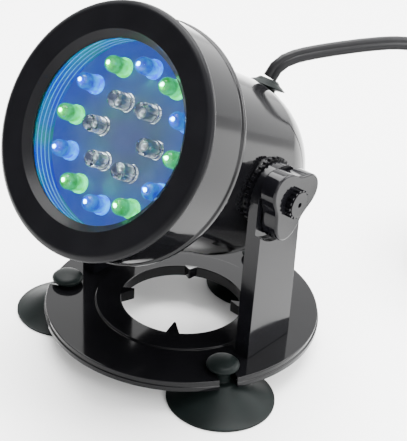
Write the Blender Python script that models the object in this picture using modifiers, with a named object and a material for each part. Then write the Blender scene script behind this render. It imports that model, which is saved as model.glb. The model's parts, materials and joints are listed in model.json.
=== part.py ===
"""Underwater pond light: a tilting lamp head on a round base with three suction cups.

Units are metres, +Z is up and the lamp faces -Y. The head is built in its own frame, whose
origin is the tilt axis and whose local Z axis is the direction the lamp shines in.
"""
from math import asin, ceil, cos, pi, radians, sin

import bmesh
import bpy
from mathutils import Matrix, Vector

COLLECTION_NAME = "pond_light"
MERGE = 0.00001         # merge distance of turned shapes
SEAT_GAP = 0.0001       # pieces that rest on each other
SLIP_GAP = 0.0002       # pieces pushed into each other
RUN_GAP = 0.0003        # pieces that move past each other

# Base: a round plate on three suction cups
DISC_RADIUS = 0.045
DISC_THICKNESS = 0.0033
DISC_TOP = 0.0107
DISC_HOLE_RADIUS = 0.020
STEP_WIDTH = 0.0084     # raised ring around the central hole
STEP_HEIGHT = 0.0006
RIM_STEP = 0.0004       # moulded line around the rim
BARB_COUNT = 4
BARB_FIRST_ANGLE = radians(33)
BARB_WIDTH = 0.0052
BARB_REACH = 0.004
BARB_RISE = 0.0016

CUP_RADIUS = 0.0168
CUP_CIRCLE_RADIUS = 0.039
CUP_ANGLES = {"front_right": radians(-30), "front_left": radians(-150), "rear": radians(90)}
CUP_NECK_RADIUS = 0.0027
CUP_HEAD_RADIUS = 0.0051
CUP_HEAD_HEIGHT = 0.0034
CUP_HOLLOW = 0.0034     # height of the space under the cup

# Arms that carry the head
ARM_INNER_X = 0.0308
ARM_THICKNESS = 0.0052
ARM_TOP_HALF_WIDTH = 0.0094
ARM_FOOT_HALF_WIDTH = 0.0103
ARM_EDGE = 0.0007
EAR_THICKNESS = 0.0032
TAB_THICKNESS = 0.0026
TAB_HALF_WIDTH = 0.005
PIVOT_HEIGHT = 0.0635
PIVOT_SCREW_RADIUS = 0.002
EAR_HOLE_PLAY = 0.0004
ARM_SCREW_RADIUS = 0.0014
ARM_SCREW_HEAD_RADIUS = 0.0031
ARM_SCREW_HEAD_HEIGHT = 0.0016
ARM_SCREW_LENGTH = 0.012

# Knobs
KNOB_MEAN_RADIUS = 0.0101
KNOB_LOBE = 0.0020
KNOB_LOBES = 3
KNOB_LOBE_ANGLE = radians(102)
KNOB_THICKNESS = 0.0057
KNOB_EDGE = 0.0008
SPLINE_RADIUS = 0.0045
SPLINE_TEETH = 16
SPLINE_TOOTH = 0.0005
SPLINE_HEIGHT = 0.0021
SPLINE_HOLE_RADIUS = 0.0006
HEX_RADIUS = 0.0035
HEX_HEIGHT = 0.0025

# Head, with distances along its axis measured forwards from the tilt axis
REST_TILT = radians(29)
BEZEL_RADIUS = 0.0371
BEZEL_FACE = 0.0461
BEZEL_DEPTH = 0.0025
BEZEL_LIP_OUTER_RADIUS = 0.0286
BEZEL_LIP_RADIUS = 0.0265
LIP_THICKNESS = 0.0034
SKIRT_LENGTH = 0.0095
SKIRT_WALL = 0.0018
FRONT_RADIUS = 0.0360
FRONT_WALL = 0.0025
FRONT_REAR_FACE = 0.0273
FRONT_FLOOR = 0.0015
FRONT_OPENING_RADIUS = 0.018
RIM_BEAD = 0.0005
RIM_BEAD_WIDTH = 0.0017
LIGHT_WELL_WALL = 0.0025
LENS_THICKNESS = 0.0024
GASKET_THICKNESS = 0.0012
BOARD_RADIUS = 0.0282
BOARD_THICKNESS = 0.0012
BOARD_LEDGE_HEIGHT = 0.0028
BOARD_LEDGE_WIDTH = 0.0021

LED_RADIUS = 0.0025
LED_FLANGE_RADIUS = 0.0029
LED_FLANGE_HEIGHT = 0.001
LED_HEIGHT = 0.008
LED_RINGS = (("outer", 12, 0.0208), ("inner", 6, 0.0105))

REAR_RADIUS = 0.0292
REAR_WALL = 0.0022
REAR_STRAIGHT_END = -0.0126
SEAM_GASKET_THICKNESS = 0.0009
SCREW_POST_INSET = 0.006        # of its centre from the outside of the rear housing
SCREW_POST_RADIUS = 0.0042
SCREW_POST_END = 0.0112
HOUSING_SCREW_COUNT = 3
HOUSING_SCREW_RADIUS = 0.00125
HOUSING_SCREW_HEAD_RADIUS = 0.0023
HOUSING_SCREW_HEAD_HEIGHT = 0.001
HOUSING_SCREW_LENGTH = 0.0095
BOSS_RADIUS = 0.0098
INNER_BOSS_RADIUS = 0.0056
INSERT_RADIUS = 0.0032
INSERT_LENGTH = 0.0068
DETENT_RADIUS = 0.0106
DETENT_TOOTH = 0.0006
DETENT_TEETH = 30
DETENT_THICKNESS = 0.0011

# Driver electronics inside the rear housing
DRIVER_INSET = 0.0047           # of its edge from the outside of the rear housing
DRIVER_THICKNESS = 0.0016
RECTIFIER_SIZE = (0.008, 0.006, 0.0026)
CAPACITOR_RADIUS = 0.004
CAPACITOR_HEIGHT = 0.0095
CHIP_SIZE = (0.006, 0.005, 0.0016)
WIRE_RADIUS = 0.0006

# Cable, its grommet and its connector
CABLE_DIAMETER = 0.00465
GROMMET_POSITION = -0.025       # along the head's axis
GROMMET_NECK_RADIUS = 0.0033
GROMMET_FLANGE_RADIUS = 0.0063
GROMMET_FLANGE_SUNK = 0.0005    # below the outside of the rear housing
GROMMET_TOP_RISE = 0.0026       # above the flange
CABLE_END_GAP = 0.0003
CABLE_STEP = 0.0115
COIL_CENTRE = (0.062, 0.116)
COIL_MID_RADIUS = 0.0272
COIL_COLUMNS = 4
COIL_ROWS = 4
CONNECTOR_RADIUS = 0.0058
CONNECTOR_LENGTH = 0.022
CONNECTOR_NUT_RADIUS = 0.0068
CONNECTOR_NUT_LENGTH = 0.009
CONNECTOR_NUT_RIBS = 14

# The cable's route from the grommet to its coil, after the first point, which is the grommet's top
CABLE_ROUTE = (
    (0.0004, 0.0387, 0.0815),
    (0.0014, 0.0416, 0.0837),
    (0.0032, 0.0462, 0.0850),
    (0.0060, 0.0538, 0.0854),
    (0.0094, 0.0632, 0.0853),
    (0.0132, 0.0736, 0.0849),
    (0.0170, 0.0840, 0.0839),
    (0.0207, 0.0940, 0.0815),
    (0.0229, 0.1014, 0.0775),
    (0.0236, 0.1073, 0.0712),
    (0.0235, 0.1119, 0.0638),
    (0.0229, 0.1156, 0.0559),
    (0.0222, 0.1188, 0.0479),
    (0.0215, 0.1218, 0.0397),
    (0.0211, 0.1247, 0.0315),
    (0.0212, 0.1279, 0.0234),
    (0.0222, 0.1315, 0.0155),
    (0.0248, 0.1360, 0.0086),
    (0.0295, 0.1414, 0.0038),
    (0.0358, 0.1472, 0.0024),
)

SCREW_POST_CIRCLE = REAR_RADIUS - SCREW_POST_INSET
DRIVER_RADIUS = REAR_RADIUS - DRIVER_INSET
GROMMET_FLANGE_HEIGHT = REAR_RADIUS - GROMMET_FLANGE_SUNK
GROMMET_TOP_HEIGHT = GROMMET_FLANGE_HEIGHT + GROMMET_TOP_RISE
DISC_BOTTOM = DISC_TOP - DISC_THICKNESS
ARM_OUTER_X = ARM_INNER_X + ARM_THICKNESS
EAR_OUTER_X = ARM_INNER_X + EAR_THICKNESS
KNOB_INNER_X = EAR_OUTER_X + RUN_GAP
KNOB_OUTER_X = KNOB_INNER_X + KNOB_THICKNESS
KNOB_REACH = KNOB_MEAN_RADIUS + KNOB_LOBE
EAR_POCKET_RADIUS = KNOB_REACH + 0.0016
DETENT_OUTER_X = ARM_INNER_X - RUN_GAP
BOSS_FACE_X = DETENT_OUTER_X - DETENT_THICKNESS - SEAT_GAP
BEZEL_BACK = BEZEL_FACE - BEZEL_DEPTH
FRONT_END = BEZEL_BACK - RUN_GAP
LENS_FRONT = BEZEL_FACE - LIP_THICKNESS - SEAT_GAP
LENS_BACK = LENS_FRONT - LENS_THICKNESS
GASKET_BACK = LENS_BACK - SEAT_GAP - GASKET_THICKNESS
WELL_TOP = GASKET_BACK - SEAT_GAP
FRONT_BORE = FRONT_RADIUS - FRONT_WALL
SKIRT_OUTER = FRONT_BORE - RUN_GAP
SKIRT_INNER = SKIRT_OUTER - SKIRT_WALL
SKIRT_END = BEZEL_BACK - SKIRT_LENGTH
LENS_RADIUS = SKIRT_INNER - RUN_GAP
WELL_RADIUS = BOARD_RADIUS + RUN_GAP
WELL_OUTER = WELL_RADIUS + LIGHT_WELL_WALL
FLOOR_FRONT = FRONT_REAR_FACE + FRONT_FLOOR
BOARD_BACK = FRONT_REAR_FACE + BOARD_LEDGE_HEIGHT + SEAT_GAP
BOARD_FRONT = BOARD_BACK + BOARD_THICKNESS
SEAM_GASKET_BACK = FRONT_REAR_FACE - SEAT_GAP - SEAM_GASKET_THICKNESS
REAR_FRONT_FACE = SEAM_GASKET_BACK - SEAT_GAP
DRIVER_FRONT = SCREW_POST_END - SEAT_GAP
DRIVER_BACK = DRIVER_FRONT - DRIVER_THICKNESS
COIL_PITCH = CABLE_DIAMETER + 0.0001
COIL_INNER = COIL_MID_RADIUS - COIL_COLUMNS * COIL_PITCH / 2
COIL_OUTER = COIL_MID_RADIUS + COIL_COLUMNS * COIL_PITCH / 2
COIL_HEIGHT = COIL_ROWS * COIL_PITCH

MATERIALS = {
    "gloss_black": ((0.012, 0.013, 0.015), 0.16, 0.0),
    "satin_black": ((0.016, 0.017, 0.019), 0.34, 0.0),
    "rubber": ((0.030, 0.036, 0.038), 0.42, 0.0),
    "soft_seal": ((0.020, 0.020, 0.022), 0.60, 0.0),
    "clear_plastic": ((0.80, 0.86, 0.88), 0.04, 0.0),
    "led_epoxy": ((0.70, 0.82, 0.85), 0.08, 0.0),
    "circuit_board": ((0.10, 0.16, 0.22), 0.45, 0.0),
    "chip_black": ((0.02, 0.02, 0.02), 0.50, 0.0),
    "capacitor_sleeve": ((0.03, 0.05, 0.12), 0.35, 0.0),
    "steel": ((0.56, 0.57, 0.58), 0.28, 1.0),
    "brass": ((0.72, 0.55, 0.25), 0.30, 1.0),
    "cable_jacket": ((0.045, 0.048, 0.052), 0.36, 0.0),
    "wire_red": ((0.45, 0.03, 0.02), 0.45, 0.0),
    "wire_black": ((0.02, 0.02, 0.02), 0.45, 0.0),
}


def clear_scene():
    for item in list(bpy.data.objects):
        bpy.data.objects.remove(item, do_unlink=True)


def new_collection(name):
    collection = bpy.data.collections.new(name)
    bpy.context.scene.collection.children.link(collection)
    return collection


def material(name):
    existing = bpy.data.materials.get(name)
    if existing:
        return existing
    colour, roughness, metallic = MATERIALS[name]
    made = bpy.data.materials.new(name)
    made.use_nodes = True
    shader = made.node_tree.nodes["Principled BSDF"]
    shader.inputs["Base Color"].default_value = (*colour, 1.0)
    shader.inputs["Roughness"].default_value = roughness
    shader.inputs["Metallic"].default_value = metallic
    made.diffuse_color = (*colour, 1.0)
    return made


def add_object(name, data, material_name, parent=None, matrix=None):
    """Put new data in the parts' collection, placed by a matrix in its parent's frame."""
    item = bpy.data.objects.new(name, data)
    bpy.data.collections[COLLECTION_NAME].objects.link(item)
    item.data.materials.clear()
    item.data.materials.append(material(material_name))
    item.parent = parent
    if matrix is not None:
        item.matrix_local = matrix
    return item


def make_cutter(item):
    """Move an object to the cutters' collection, where the build leaves it out."""
    bpy.data.collections[COLLECTION_NAME].objects.unlink(item)
    bpy.data.collections["cutters"].objects.link(item)
    item.hide_render = True
    item.display_type = "WIRE"
    return item


def cut_cylinder(target, name, radius, start, end, segments, turn=None):
    """Cut a cylinder between two heights on local Z out of a piece that shares its frame."""
    material_name = target.data.materials[0].name
    boolean(target, cylinder(name, radius, start, end, material_name, target.parent, segments, turn))


def boolean(target, tool, operation="DIFFERENCE"):
    modifier = target.modifiers.new(tool.name, "BOOLEAN")
    modifier.operation = operation
    modifier.solver = "EXACT"
    modifier.object = make_cutter(tool)
    return target


def bevel(item, width, segments=2, angle=radians(40)):
    modifier = item.modifiers.new("edges", "BEVEL")
    modifier.width = width
    modifier.segments = segments
    modifier.limit_method = "ANGLE"
    modifier.angle_limit = angle
    return item


def smooth(item, angle=radians(35)):
    item.data.shade_smooth()
    item.data.set_sharp_from_angle(angle=angle)
    return item


def turned(name, profile, material_name, segments=48, parent=None, matrix=None):
    """Turn a profile of (radius, height) points about local Z. It closes on itself or on the axis."""
    mesh = bpy.data.meshes.new(name)
    shape = bmesh.new()
    verts = [shape.verts.new((radius, 0.0, height)) for radius, height in profile]
    for first, second in zip(verts, verts[1:]):
        shape.edges.new((first, second))
    if profile[0][0] > 0 and profile[-1][0] > 0:
        shape.edges.new((verts[-1], verts[0]))
    shape.to_mesh(mesh)
    shape.free()
    item = add_object(name, mesh, material_name, parent, matrix)
    screw = item.modifiers.new("turn", "SCREW")
    screw.axis = "Z"
    screw.steps = segments
    screw.render_steps = segments
    screw.use_merge_vertices = True
    screw.merge_threshold = MERGE
    screw.use_smooth_shade = False
    return bake(item)


def bake(item):
    """Replace an object's data with its evaluated mesh, so that modifiers on top stay simple."""
    bpy.context.view_layer.update()
    graph = bpy.context.evaluated_depsgraph_get()
    mesh = bpy.data.meshes.new_from_object(item.evaluated_get(graph))
    if item.type == "CURVE":
        fresh = bpy.data.objects.new(item.name + "_mesh", mesh)
        for collection in item.users_collection:
            collection.objects.link(fresh)
        fresh.parent = item.parent
        fresh.matrix_local = item.matrix_local.copy()
        name = item.name
        bpy.data.objects.remove(item, do_unlink=True)
        fresh.name = name
        weld(fresh.data)
        return fresh
    item.modifiers.clear()
    item.data = mesh
    return smooth(item)


def weld(mesh):
    shape = bmesh.new()
    shape.from_mesh(mesh)
    bmesh.ops.remove_doubles(shape, verts=shape.verts, dist=MERGE)
    bmesh.ops.recalc_face_normals(shape, faces=shape.faces)
    shape.to_mesh(mesh)
    shape.free()


def primitive_mesh(name, build, matrix):
    mesh = bpy.data.meshes.new(name)
    shape = bmesh.new()
    build(shape)
    bmesh.ops.transform(shape, matrix=matrix, verts=shape.verts)
    shape.to_mesh(mesh)
    shape.free()
    return mesh


def box(name, size, centre, material_name, parent=None):
    """A box of full sizes about its centre, in its parent's frame."""
    place = Matrix.Translation(centre) @ Matrix.Diagonal((*size, 1.0))
    mesh = primitive_mesh(name, lambda shape: bmesh.ops.create_cube(shape, size=1.0), place)
    return add_object(name, mesh, material_name, parent)


def cylinder(name, radius, start, end, material_name, parent=None, segments=32, turn=None):
    """A cylinder between two heights on local Z, then turned and moved by a matrix."""
    place = (turn or Matrix()) @ Matrix.Translation((0, 0, (start + end) / 2))

    def build(shape):
        bmesh.ops.create_cone(shape, cap_ends=True, segments=segments, radius1=radius,
                              radius2=radius, depth=abs(end - start))

    mesh = primitive_mesh(name, build, place)
    return smooth(add_object(name, mesh, material_name, parent))


def outline(name, loops, start, end, material_name, parent=None, matrix=None):
    """Extrude closed (x, y) loops between two heights on local Z. Inner loops are holes."""
    curve = bpy.data.curves.new(name, "CURVE")
    curve.dimensions = "2D"
    curve.fill_mode = "BOTH"
    curve.extrude = (end - start) / 2
    for loop in loops:
        spline = curve.splines.new("POLY")
        spline.points.add(len(loop) - 1)
        for point, (x, y) in zip(spline.points, loop):
            point.co = (x, y, 0.0, 1.0)
        spline.use_cyclic_u = True
    place = (matrix or Matrix()) @ Matrix.Translation((0, 0, (start + end) / 2))
    return smooth(bake(add_object(name, curve, material_name, parent, place)))


def circle_points(radius, count, centre=(0.0, 0.0)):
    step = 2 * pi / count
    return [(centre[0] + radius * cos(i * step), centre[1] + radius * sin(i * step)) for i in range(count)]


def toothed_points(radius, depth, teeth, tip=0.3):
    """A ring of blunt teeth, four points to each tooth."""
    points = []
    pitch = 2 * pi / teeth
    for tooth in range(teeth):
        low = radius - depth
        for share, reach in ((0.0, low), (0.5 - tip, low), (0.5, radius), (0.5 + tip, radius)):
            angle = pitch * (tooth + share)
            points.append((reach * cos(angle), reach * sin(angle)))
    return points


def about_x(side):
    """Turn local Z to point outwards along X on one side (+1 right, -1 left), local X to +Z."""
    return Matrix(((0, 0, side, 0), (0, side, 0, 0), (-1, 0, 0, 0), (0, 0, 0, 1)))


def centre_y():
    """How far back the base's centre lies, so that the origin is the middle of the whole light."""
    front = max(height * cos(REST_TILT) + radius * sin(REST_TILT) for radius, height in bezel_profile())
    rear = CUP_CIRCLE_RADIUS + CUP_RADIUS
    return (front - rear) / 2


def add_frame(name, matrix, parent=None):
    """An empty that pieces are placed in."""
    frame = bpy.data.objects.new(name, None)
    bpy.data.collections[COLLECTION_NAME].objects.link(frame)
    frame.parent = parent
    frame.matrix_local = matrix
    return frame


def head_matrix():
    """The head's frame in the stand's: on the tilt axis, with local Z where the lamp shines."""
    return Matrix.Translation((0, 0, PIVOT_HEIGHT)) @ Matrix.Rotation(pi / 2 - REST_TILT, 4, "X")


def side_name(side):
    return "right" if side > 0 else "left"


# ---------------------------------------------------------------- base

def make_base_disc(stand):
    step_radius = DISC_HOLE_RADIUS + STEP_WIDTH
    edge = 0.0006
    profile = [
        (DISC_HOLE_RADIUS + edge / 2, DISC_TOP + STEP_HEIGHT),
        (step_radius - edge / 2, DISC_TOP + STEP_HEIGHT),
        (step_radius, DISC_TOP),
        (DISC_RADIUS - edge - RIM_STEP, DISC_TOP),
        (DISC_RADIUS - RIM_STEP, DISC_TOP - edge),
        (DISC_RADIUS - RIM_STEP, DISC_TOP - 0.45 * DISC_THICKNESS),
        (DISC_RADIUS, DISC_TOP - 0.55 * DISC_THICKNESS),
        (DISC_RADIUS, DISC_BOTTOM + edge / 2),
        (DISC_RADIUS - edge / 2, DISC_BOTTOM),
        (DISC_HOLE_RADIUS, DISC_BOTTOM),
        (DISC_HOLE_RADIUS, DISC_TOP + STEP_HEIGHT - edge / 2),
    ]
    disc = turned("base_disc", profile, "gloss_black", segments=56, parent=stand)
    for index in range(BARB_COUNT):
        add_barb(disc, index)
    for name, angle in CUP_ANGLES.items():
        cut_cup_notch(disc, name, angle)
    for side in (1, -1):
        cut_arm_slot(disc, side)
    return disc


def add_barb(disc, index):
    """A pointed clip at the edge of the central hole that grips what is plugged in there."""
    root = DISC_HOLE_RADIUS + 0.0012
    tip = DISC_HOLE_RADIUS - BARB_REACH
    loop = [(root, -BARB_WIDTH / 2), (root, BARB_WIDTH / 2), (tip, 0.0003), (tip, -0.0003)]
    place = Matrix.Rotation(BARB_FIRST_ANGLE + index * 2 * pi / BARB_COUNT, 4, "Z")
    top = DISC_TOP + STEP_HEIGHT + BARB_RISE
    barb = outline(f"barb_{index + 1}", [loop], DISC_BOTTOM + 0.0004, top, "gloss_black", disc.parent, place)
    boolean(disc, barb, "UNION")


def cut_cup_notch(disc, name, angle):
    """A keyhole from the rim inwards, which a cup's neck is pushed along."""
    radius = CUP_NECK_RADIUS + SLIP_GAP
    length = DISC_RADIUS - CUP_CIRCLE_RADIUS + 0.004
    arc = [(radius * cos(a), radius * sin(a)) for a in (pi / 2 + i * pi / 12 for i in range(13))]
    loop = arc + [(length, -radius), (length, radius)]
    place = Matrix.Rotation(angle, 4, "Z") @ Matrix.Translation((CUP_CIRCLE_RADIUS, 0, 0))
    low = DISC_BOTTOM - 0.001
    high = DISC_TOP + 0.001
    boolean(disc, outline(f"notch_{name}", [loop], low, high, "gloss_black", disc.parent, place))


def arm_middle_x():
    return ARM_INNER_X + ARM_THICKNESS / 2


def cut_arm_slot(disc, side):
    size = (TAB_THICKNESS + 2 * SLIP_GAP, 2 * (TAB_HALF_WIDTH + SLIP_GAP), DISC_THICKNESS + 0.002)
    centre = (side * arm_middle_x(), 0, DISC_TOP - DISC_THICKNESS / 2)
    boolean(disc, box(f"slot_{side_name(side)}", size, centre, "gloss_black", disc.parent))


def make_suction_cup(stand, name, angle):
    """A mushroom-headed cup: the head over the plate, the neck in its notch, the bell on the ground."""
    shelf = DISC_TOP + SEAT_GAP
    head = shelf + CUP_HEAD_HEIGHT
    root = DISC_BOTTOM - SEAT_GAP
    profile = [
        (0.0, head),
        (0.6 * CUP_HEAD_RADIUS, head - 0.0002),
        (0.9 * CUP_HEAD_RADIUS, head - 0.0007),
        (CUP_HEAD_RADIUS, head - 0.0015),
        (CUP_HEAD_RADIUS - 0.0003, head - 0.0023),
        (CUP_NECK_RADIUS + 0.0008, shelf),
        (CUP_NECK_RADIUS, shelf),
        (CUP_NECK_RADIUS, root),
        (CUP_NECK_RADIUS + 0.0022, root),
        (0.42 * CUP_RADIUS, 0.84 * root),
        (0.66 * CUP_RADIUS, 0.66 * root),
        (0.84 * CUP_RADIUS, 0.40 * root),
        (0.96 * CUP_RADIUS, 0.13 * root),
        (CUP_RADIUS, 0.0004),
        (CUP_RADIUS, 0.0),
        (CUP_RADIUS - 0.0009, 0.0),
        (0.78 * CUP_RADIUS, 0.42 * CUP_HOLLOW),
        (0.50 * CUP_RADIUS, 0.82 * CUP_HOLLOW),
        (0.22 * CUP_RADIUS, CUP_HOLLOW),
        (0.0, CUP_HOLLOW),
    ]
    centre = Vector((cos(angle), sin(angle), 0)) * CUP_CIRCLE_RADIUS
    return turned(f"suction_cup_{name}", profile, "rubber", segments=28, parent=stand,
                  matrix=Matrix.Translation(centre))


# ---------------------------------------------------------------- arms

def arm_outline():
    """The arm seen from its side, as (-z, y) points for an extrusion turned to X: foot, then round top."""
    foot = DISC_TOP + SEAT_GAP
    start = asin((ARM_FOOT_HALF_WIDTH - ARM_TOP_HALF_WIDTH) / (PIVOT_HEIGHT - foot))
    steps = 16
    angles = [-start + i * (pi + 2 * start) / steps for i in range(steps + 1)]
    top = [(PIVOT_HEIGHT + ARM_TOP_HALF_WIDTH * sin(a), ARM_TOP_HALF_WIDTH * cos(a)) for a in angles]
    points = [(foot, ARM_FOOT_HALF_WIDTH)] + top + [(foot, -ARM_FOOT_HALF_WIDTH)]
    return [(-z, y) for z, y in points]


def make_arm(stand, side):
    name = f"arm_{side_name(side)}"
    turn = about_x(side)
    at_pivot = Matrix.Translation((0, 0, PIVOT_HEIGHT)) @ turn
    arm = outline(name, [arm_outline()], ARM_INNER_X, ARM_OUTER_X, "satin_black", stand, turn)
    bevel(arm, ARM_EDGE)
    tab = box(f"tab_{name}", (TAB_THICKNESS, 2 * TAB_HALF_WIDTH, DISC_THICKNESS + 0.003),
              (side * arm_middle_x(), 0, DISC_TOP - DISC_THICKNESS / 2 + 0.0017), "satin_black", stand)
    boolean(arm, tab, "UNION")
    cut_cylinder(arm, f"pocket_{name}", EAR_POCKET_RADIUS, EAR_OUTER_X, ARM_OUTER_X + 0.002, 56, at_pivot)
    hole_radius = PIVOT_SCREW_RADIUS + EAR_HOLE_PLAY
    cut_cylinder(arm, f"hole_{name}", hole_radius, ARM_INNER_X - 0.001, EAR_OUTER_X + 0.001, 24, at_pivot)
    over_screw = Matrix.Translation((side * arm_middle_x(), 0, 0))
    pilot_radius = ARM_SCREW_RADIUS + SLIP_GAP
    cut_cylinder(arm, f"pilot_{name}", pilot_radius, 0.0, DISC_TOP + ARM_SCREW_LENGTH, 20, over_screw)
    return arm


def make_arm_screw(stand, side):
    """A pan-head screw up through the plate's underside into the arm."""
    head_top = DISC_BOTTOM - SEAT_GAP
    head_bottom = head_top - ARM_SCREW_HEAD_HEIGHT
    tip = head_top + ARM_SCREW_LENGTH
    profile = [
        (0.0, tip),
        (ARM_SCREW_RADIUS, tip - 0.0015),
        (ARM_SCREW_RADIUS, head_top),
        (ARM_SCREW_HEAD_RADIUS, head_top),
        (ARM_SCREW_HEAD_RADIUS, head_bottom + 0.0006),
        (0.7 * ARM_SCREW_HEAD_RADIUS, head_bottom),
        (0.0, head_bottom),
    ]
    place = Matrix.Translation((side * arm_middle_x(), 0, 0))
    return turned(f"arm_screw_{side_name(side)}", profile, "steel", segments=20, parent=stand, matrix=place)


# ---------------------------------------------------------------- knobs

def knob_outline():
    """Three round lobes: the radius swells and shrinks once for each lobe."""
    points = []
    count = 18 * KNOB_LOBES
    for index in range(count):
        angle = 2 * pi * index / count
        radius = KNOB_MEAN_RADIUS + KNOB_LOBE * cos(KNOB_LOBES * (angle - KNOB_LOBE_ANGLE))
        points.append((-radius * sin(angle), radius * cos(angle)))
    return points


def make_knob(stand, side):
    name = f"knob_{side_name(side)}"
    frame = add_frame(f"{name}_axis", Matrix.Translation((0, 0, PIVOT_HEIGHT)) @ about_x(side), stand)
    knob = outline(name, [knob_outline()], KNOB_INNER_X, KNOB_OUTER_X, "satin_black", parent=frame)
    bevel(knob, KNOB_EDGE)
    teeth = toothed_points(SPLINE_RADIUS, SPLINE_TOOTH, SPLINE_TEETH)
    end = KNOB_OUTER_X + SPLINE_HEIGHT
    stub = outline(f"spline_{name}", [teeth], KNOB_OUTER_X - 0.001, end, "satin_black", parent=frame)
    boolean(knob, stub, "UNION")
    cut_cylinder(knob, f"dimple_{name}", SPLINE_HOLE_RADIUS, end - 0.0012, end + 0.001, 12)
    pocket_end = KNOB_INNER_X + SLIP_GAP + HEX_HEIGHT + SEAT_GAP
    cut_cylinder(knob, f"pocket_{name}", HEX_RADIUS + SLIP_GAP, KNOB_INNER_X - 0.001, pocket_end, 6)
    screw = cylinder(f"knob_screw_{side_name(side)}", HEX_RADIUS, KNOB_INNER_X + SLIP_GAP,
                     KNOB_INNER_X + SLIP_GAP + HEX_HEIGHT, "steel", frame, segments=6)
    tip = BOSS_FACE_X - INSERT_LENGTH + 0.0006
    root = KNOB_INNER_X + 0.001
    shank = cylinder(f"shank_{name}", PIVOT_SCREW_RADIUS, tip, root, "steel", frame, segments=24)
    boolean(screw, shank, "UNION")
    return knob


# ---------------------------------------------------------------- head

def bezel_profile():
    """The front ring's section: a broad face, a lip over the lens and a skirt inside the housing."""
    face = BEZEL_FACE
    lip_back = face - LIP_THICKNESS
    return [
        (BEZEL_LIP_OUTER_RADIUS, face - 0.0006),
        (BEZEL_RADIUS - 0.0018, face),
        (BEZEL_RADIUS - 0.0008, face - 0.0003),
        (BEZEL_RADIUS - 0.0002, face - 0.0009),
        (BEZEL_RADIUS, face - 0.0016),
        (BEZEL_RADIUS - 0.0003, BEZEL_BACK),
        (SKIRT_OUTER, BEZEL_BACK),
        (SKIRT_OUTER, SKIRT_END),
        (SKIRT_INNER, SKIRT_END),
        (SKIRT_INNER, lip_back),
        (BEZEL_LIP_RADIUS, lip_back),
        (BEZEL_LIP_RADIUS + 0.0002, lip_back + 0.0005),
        (BEZEL_LIP_OUTER_RADIUS - 0.0003, face - 0.0009),
    ]


def make_bezel(head):
    return turned("bezel", bezel_profile(), "satin_black", segments=56, parent=head)


def make_lens(head):
    profile = [
        (0.0, LENS_FRONT),
        (LENS_RADIUS - 0.0003, LENS_FRONT),
        (LENS_RADIUS, LENS_FRONT - 0.0003),
        (LENS_RADIUS, LENS_BACK),
        (0.0, LENS_BACK),
    ]
    return turned("lens", profile, "clear_plastic", segments=56, parent=head)


def ring_profile(inner, outer, back, front):
    return [(outer, front), (outer, back), (inner, back), (inner, front)]


def make_lens_gasket(head):
    profile = ring_profile(WELL_RADIUS + 0.0002, LENS_RADIUS, GASKET_BACK, GASKET_BACK + GASKET_THICKNESS)
    return turned("lens_gasket", profile, "soft_seal", segments=48, parent=head)


def make_front_housing(head):
    """The short drum behind the bezel. Its inner wall is the light well that seats the lens."""
    ledge_radius = WELL_RADIUS - BOARD_LEDGE_WIDTH
    ledge_top = FRONT_REAR_FACE + BOARD_LEDGE_HEIGHT
    groove_floor = SKIRT_END - 0.002
    bead = FRONT_RADIUS + RIM_BEAD
    profile = [
        (FRONT_RADIUS, FRONT_END),
        (FRONT_RADIUS, FRONT_REAR_FACE + RIM_BEAD_WIDTH + 0.0004),
        (bead, FRONT_REAR_FACE + RIM_BEAD_WIDTH),
        (bead, FRONT_REAR_FACE + 0.0004),
        (bead - 0.0004, FRONT_REAR_FACE),
        (FRONT_OPENING_RADIUS, FRONT_REAR_FACE),
        (FRONT_OPENING_RADIUS, FLOOR_FRONT),
        (ledge_radius, FLOOR_FRONT),
        (ledge_radius, ledge_top),
        (WELL_RADIUS, ledge_top),
        (WELL_RADIUS, WELL_TOP),
        (WELL_OUTER, WELL_TOP),
        (WELL_OUTER, groove_floor),
        (FRONT_BORE, groove_floor),
        (FRONT_BORE, FRONT_END),
    ]
    housing = turned("front_housing", profile, "gloss_black", segments=56, parent=head)
    for index in range(HOUSING_SCREW_COUNT):
        place = screw_place(index)
        radius = HOUSING_SCREW_RADIUS + 2 * SLIP_GAP
        name = f"screw_hole_{index + 1}"
        cut_cylinder(housing, name, radius, FRONT_REAR_FACE - 0.001, FLOOR_FRONT + 0.001, 16, place)
    return housing


def screw_place(index):
    """Where a housing screw stands: evenly spaced, with the first one straight down."""
    angle = -pi / 2 + index * 2 * pi / HOUSING_SCREW_COUNT
    return Matrix.Translation((SCREW_POST_CIRCLE * cos(angle), SCREW_POST_CIRCLE * sin(angle), 0))


def make_seam_gasket(head):
    inner = SCREW_POST_CIRCLE + SCREW_POST_RADIUS + SLIP_GAP
    front = SEAM_GASKET_BACK + SEAM_GASKET_THICKNESS
    profile = ring_profile(inner, REAR_RADIUS - RUN_GAP, SEAM_GASKET_BACK, front)
    return turned("seam_gasket", profile, "soft_seal", segments=48, parent=head)


def dome_points(radius, steps, clockwise):
    """Quarter circle from the straight wall to the rear tip, or back again."""
    angles = [i * pi / 2 / steps for i in range(steps + 1)]
    points = [(radius * cos(a), REAR_STRAIGHT_END - radius * sin(a)) for a in angles]
    points[-1] = (0.0, points[-1][1])
    return points if clockwise else points[::-1]


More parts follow.
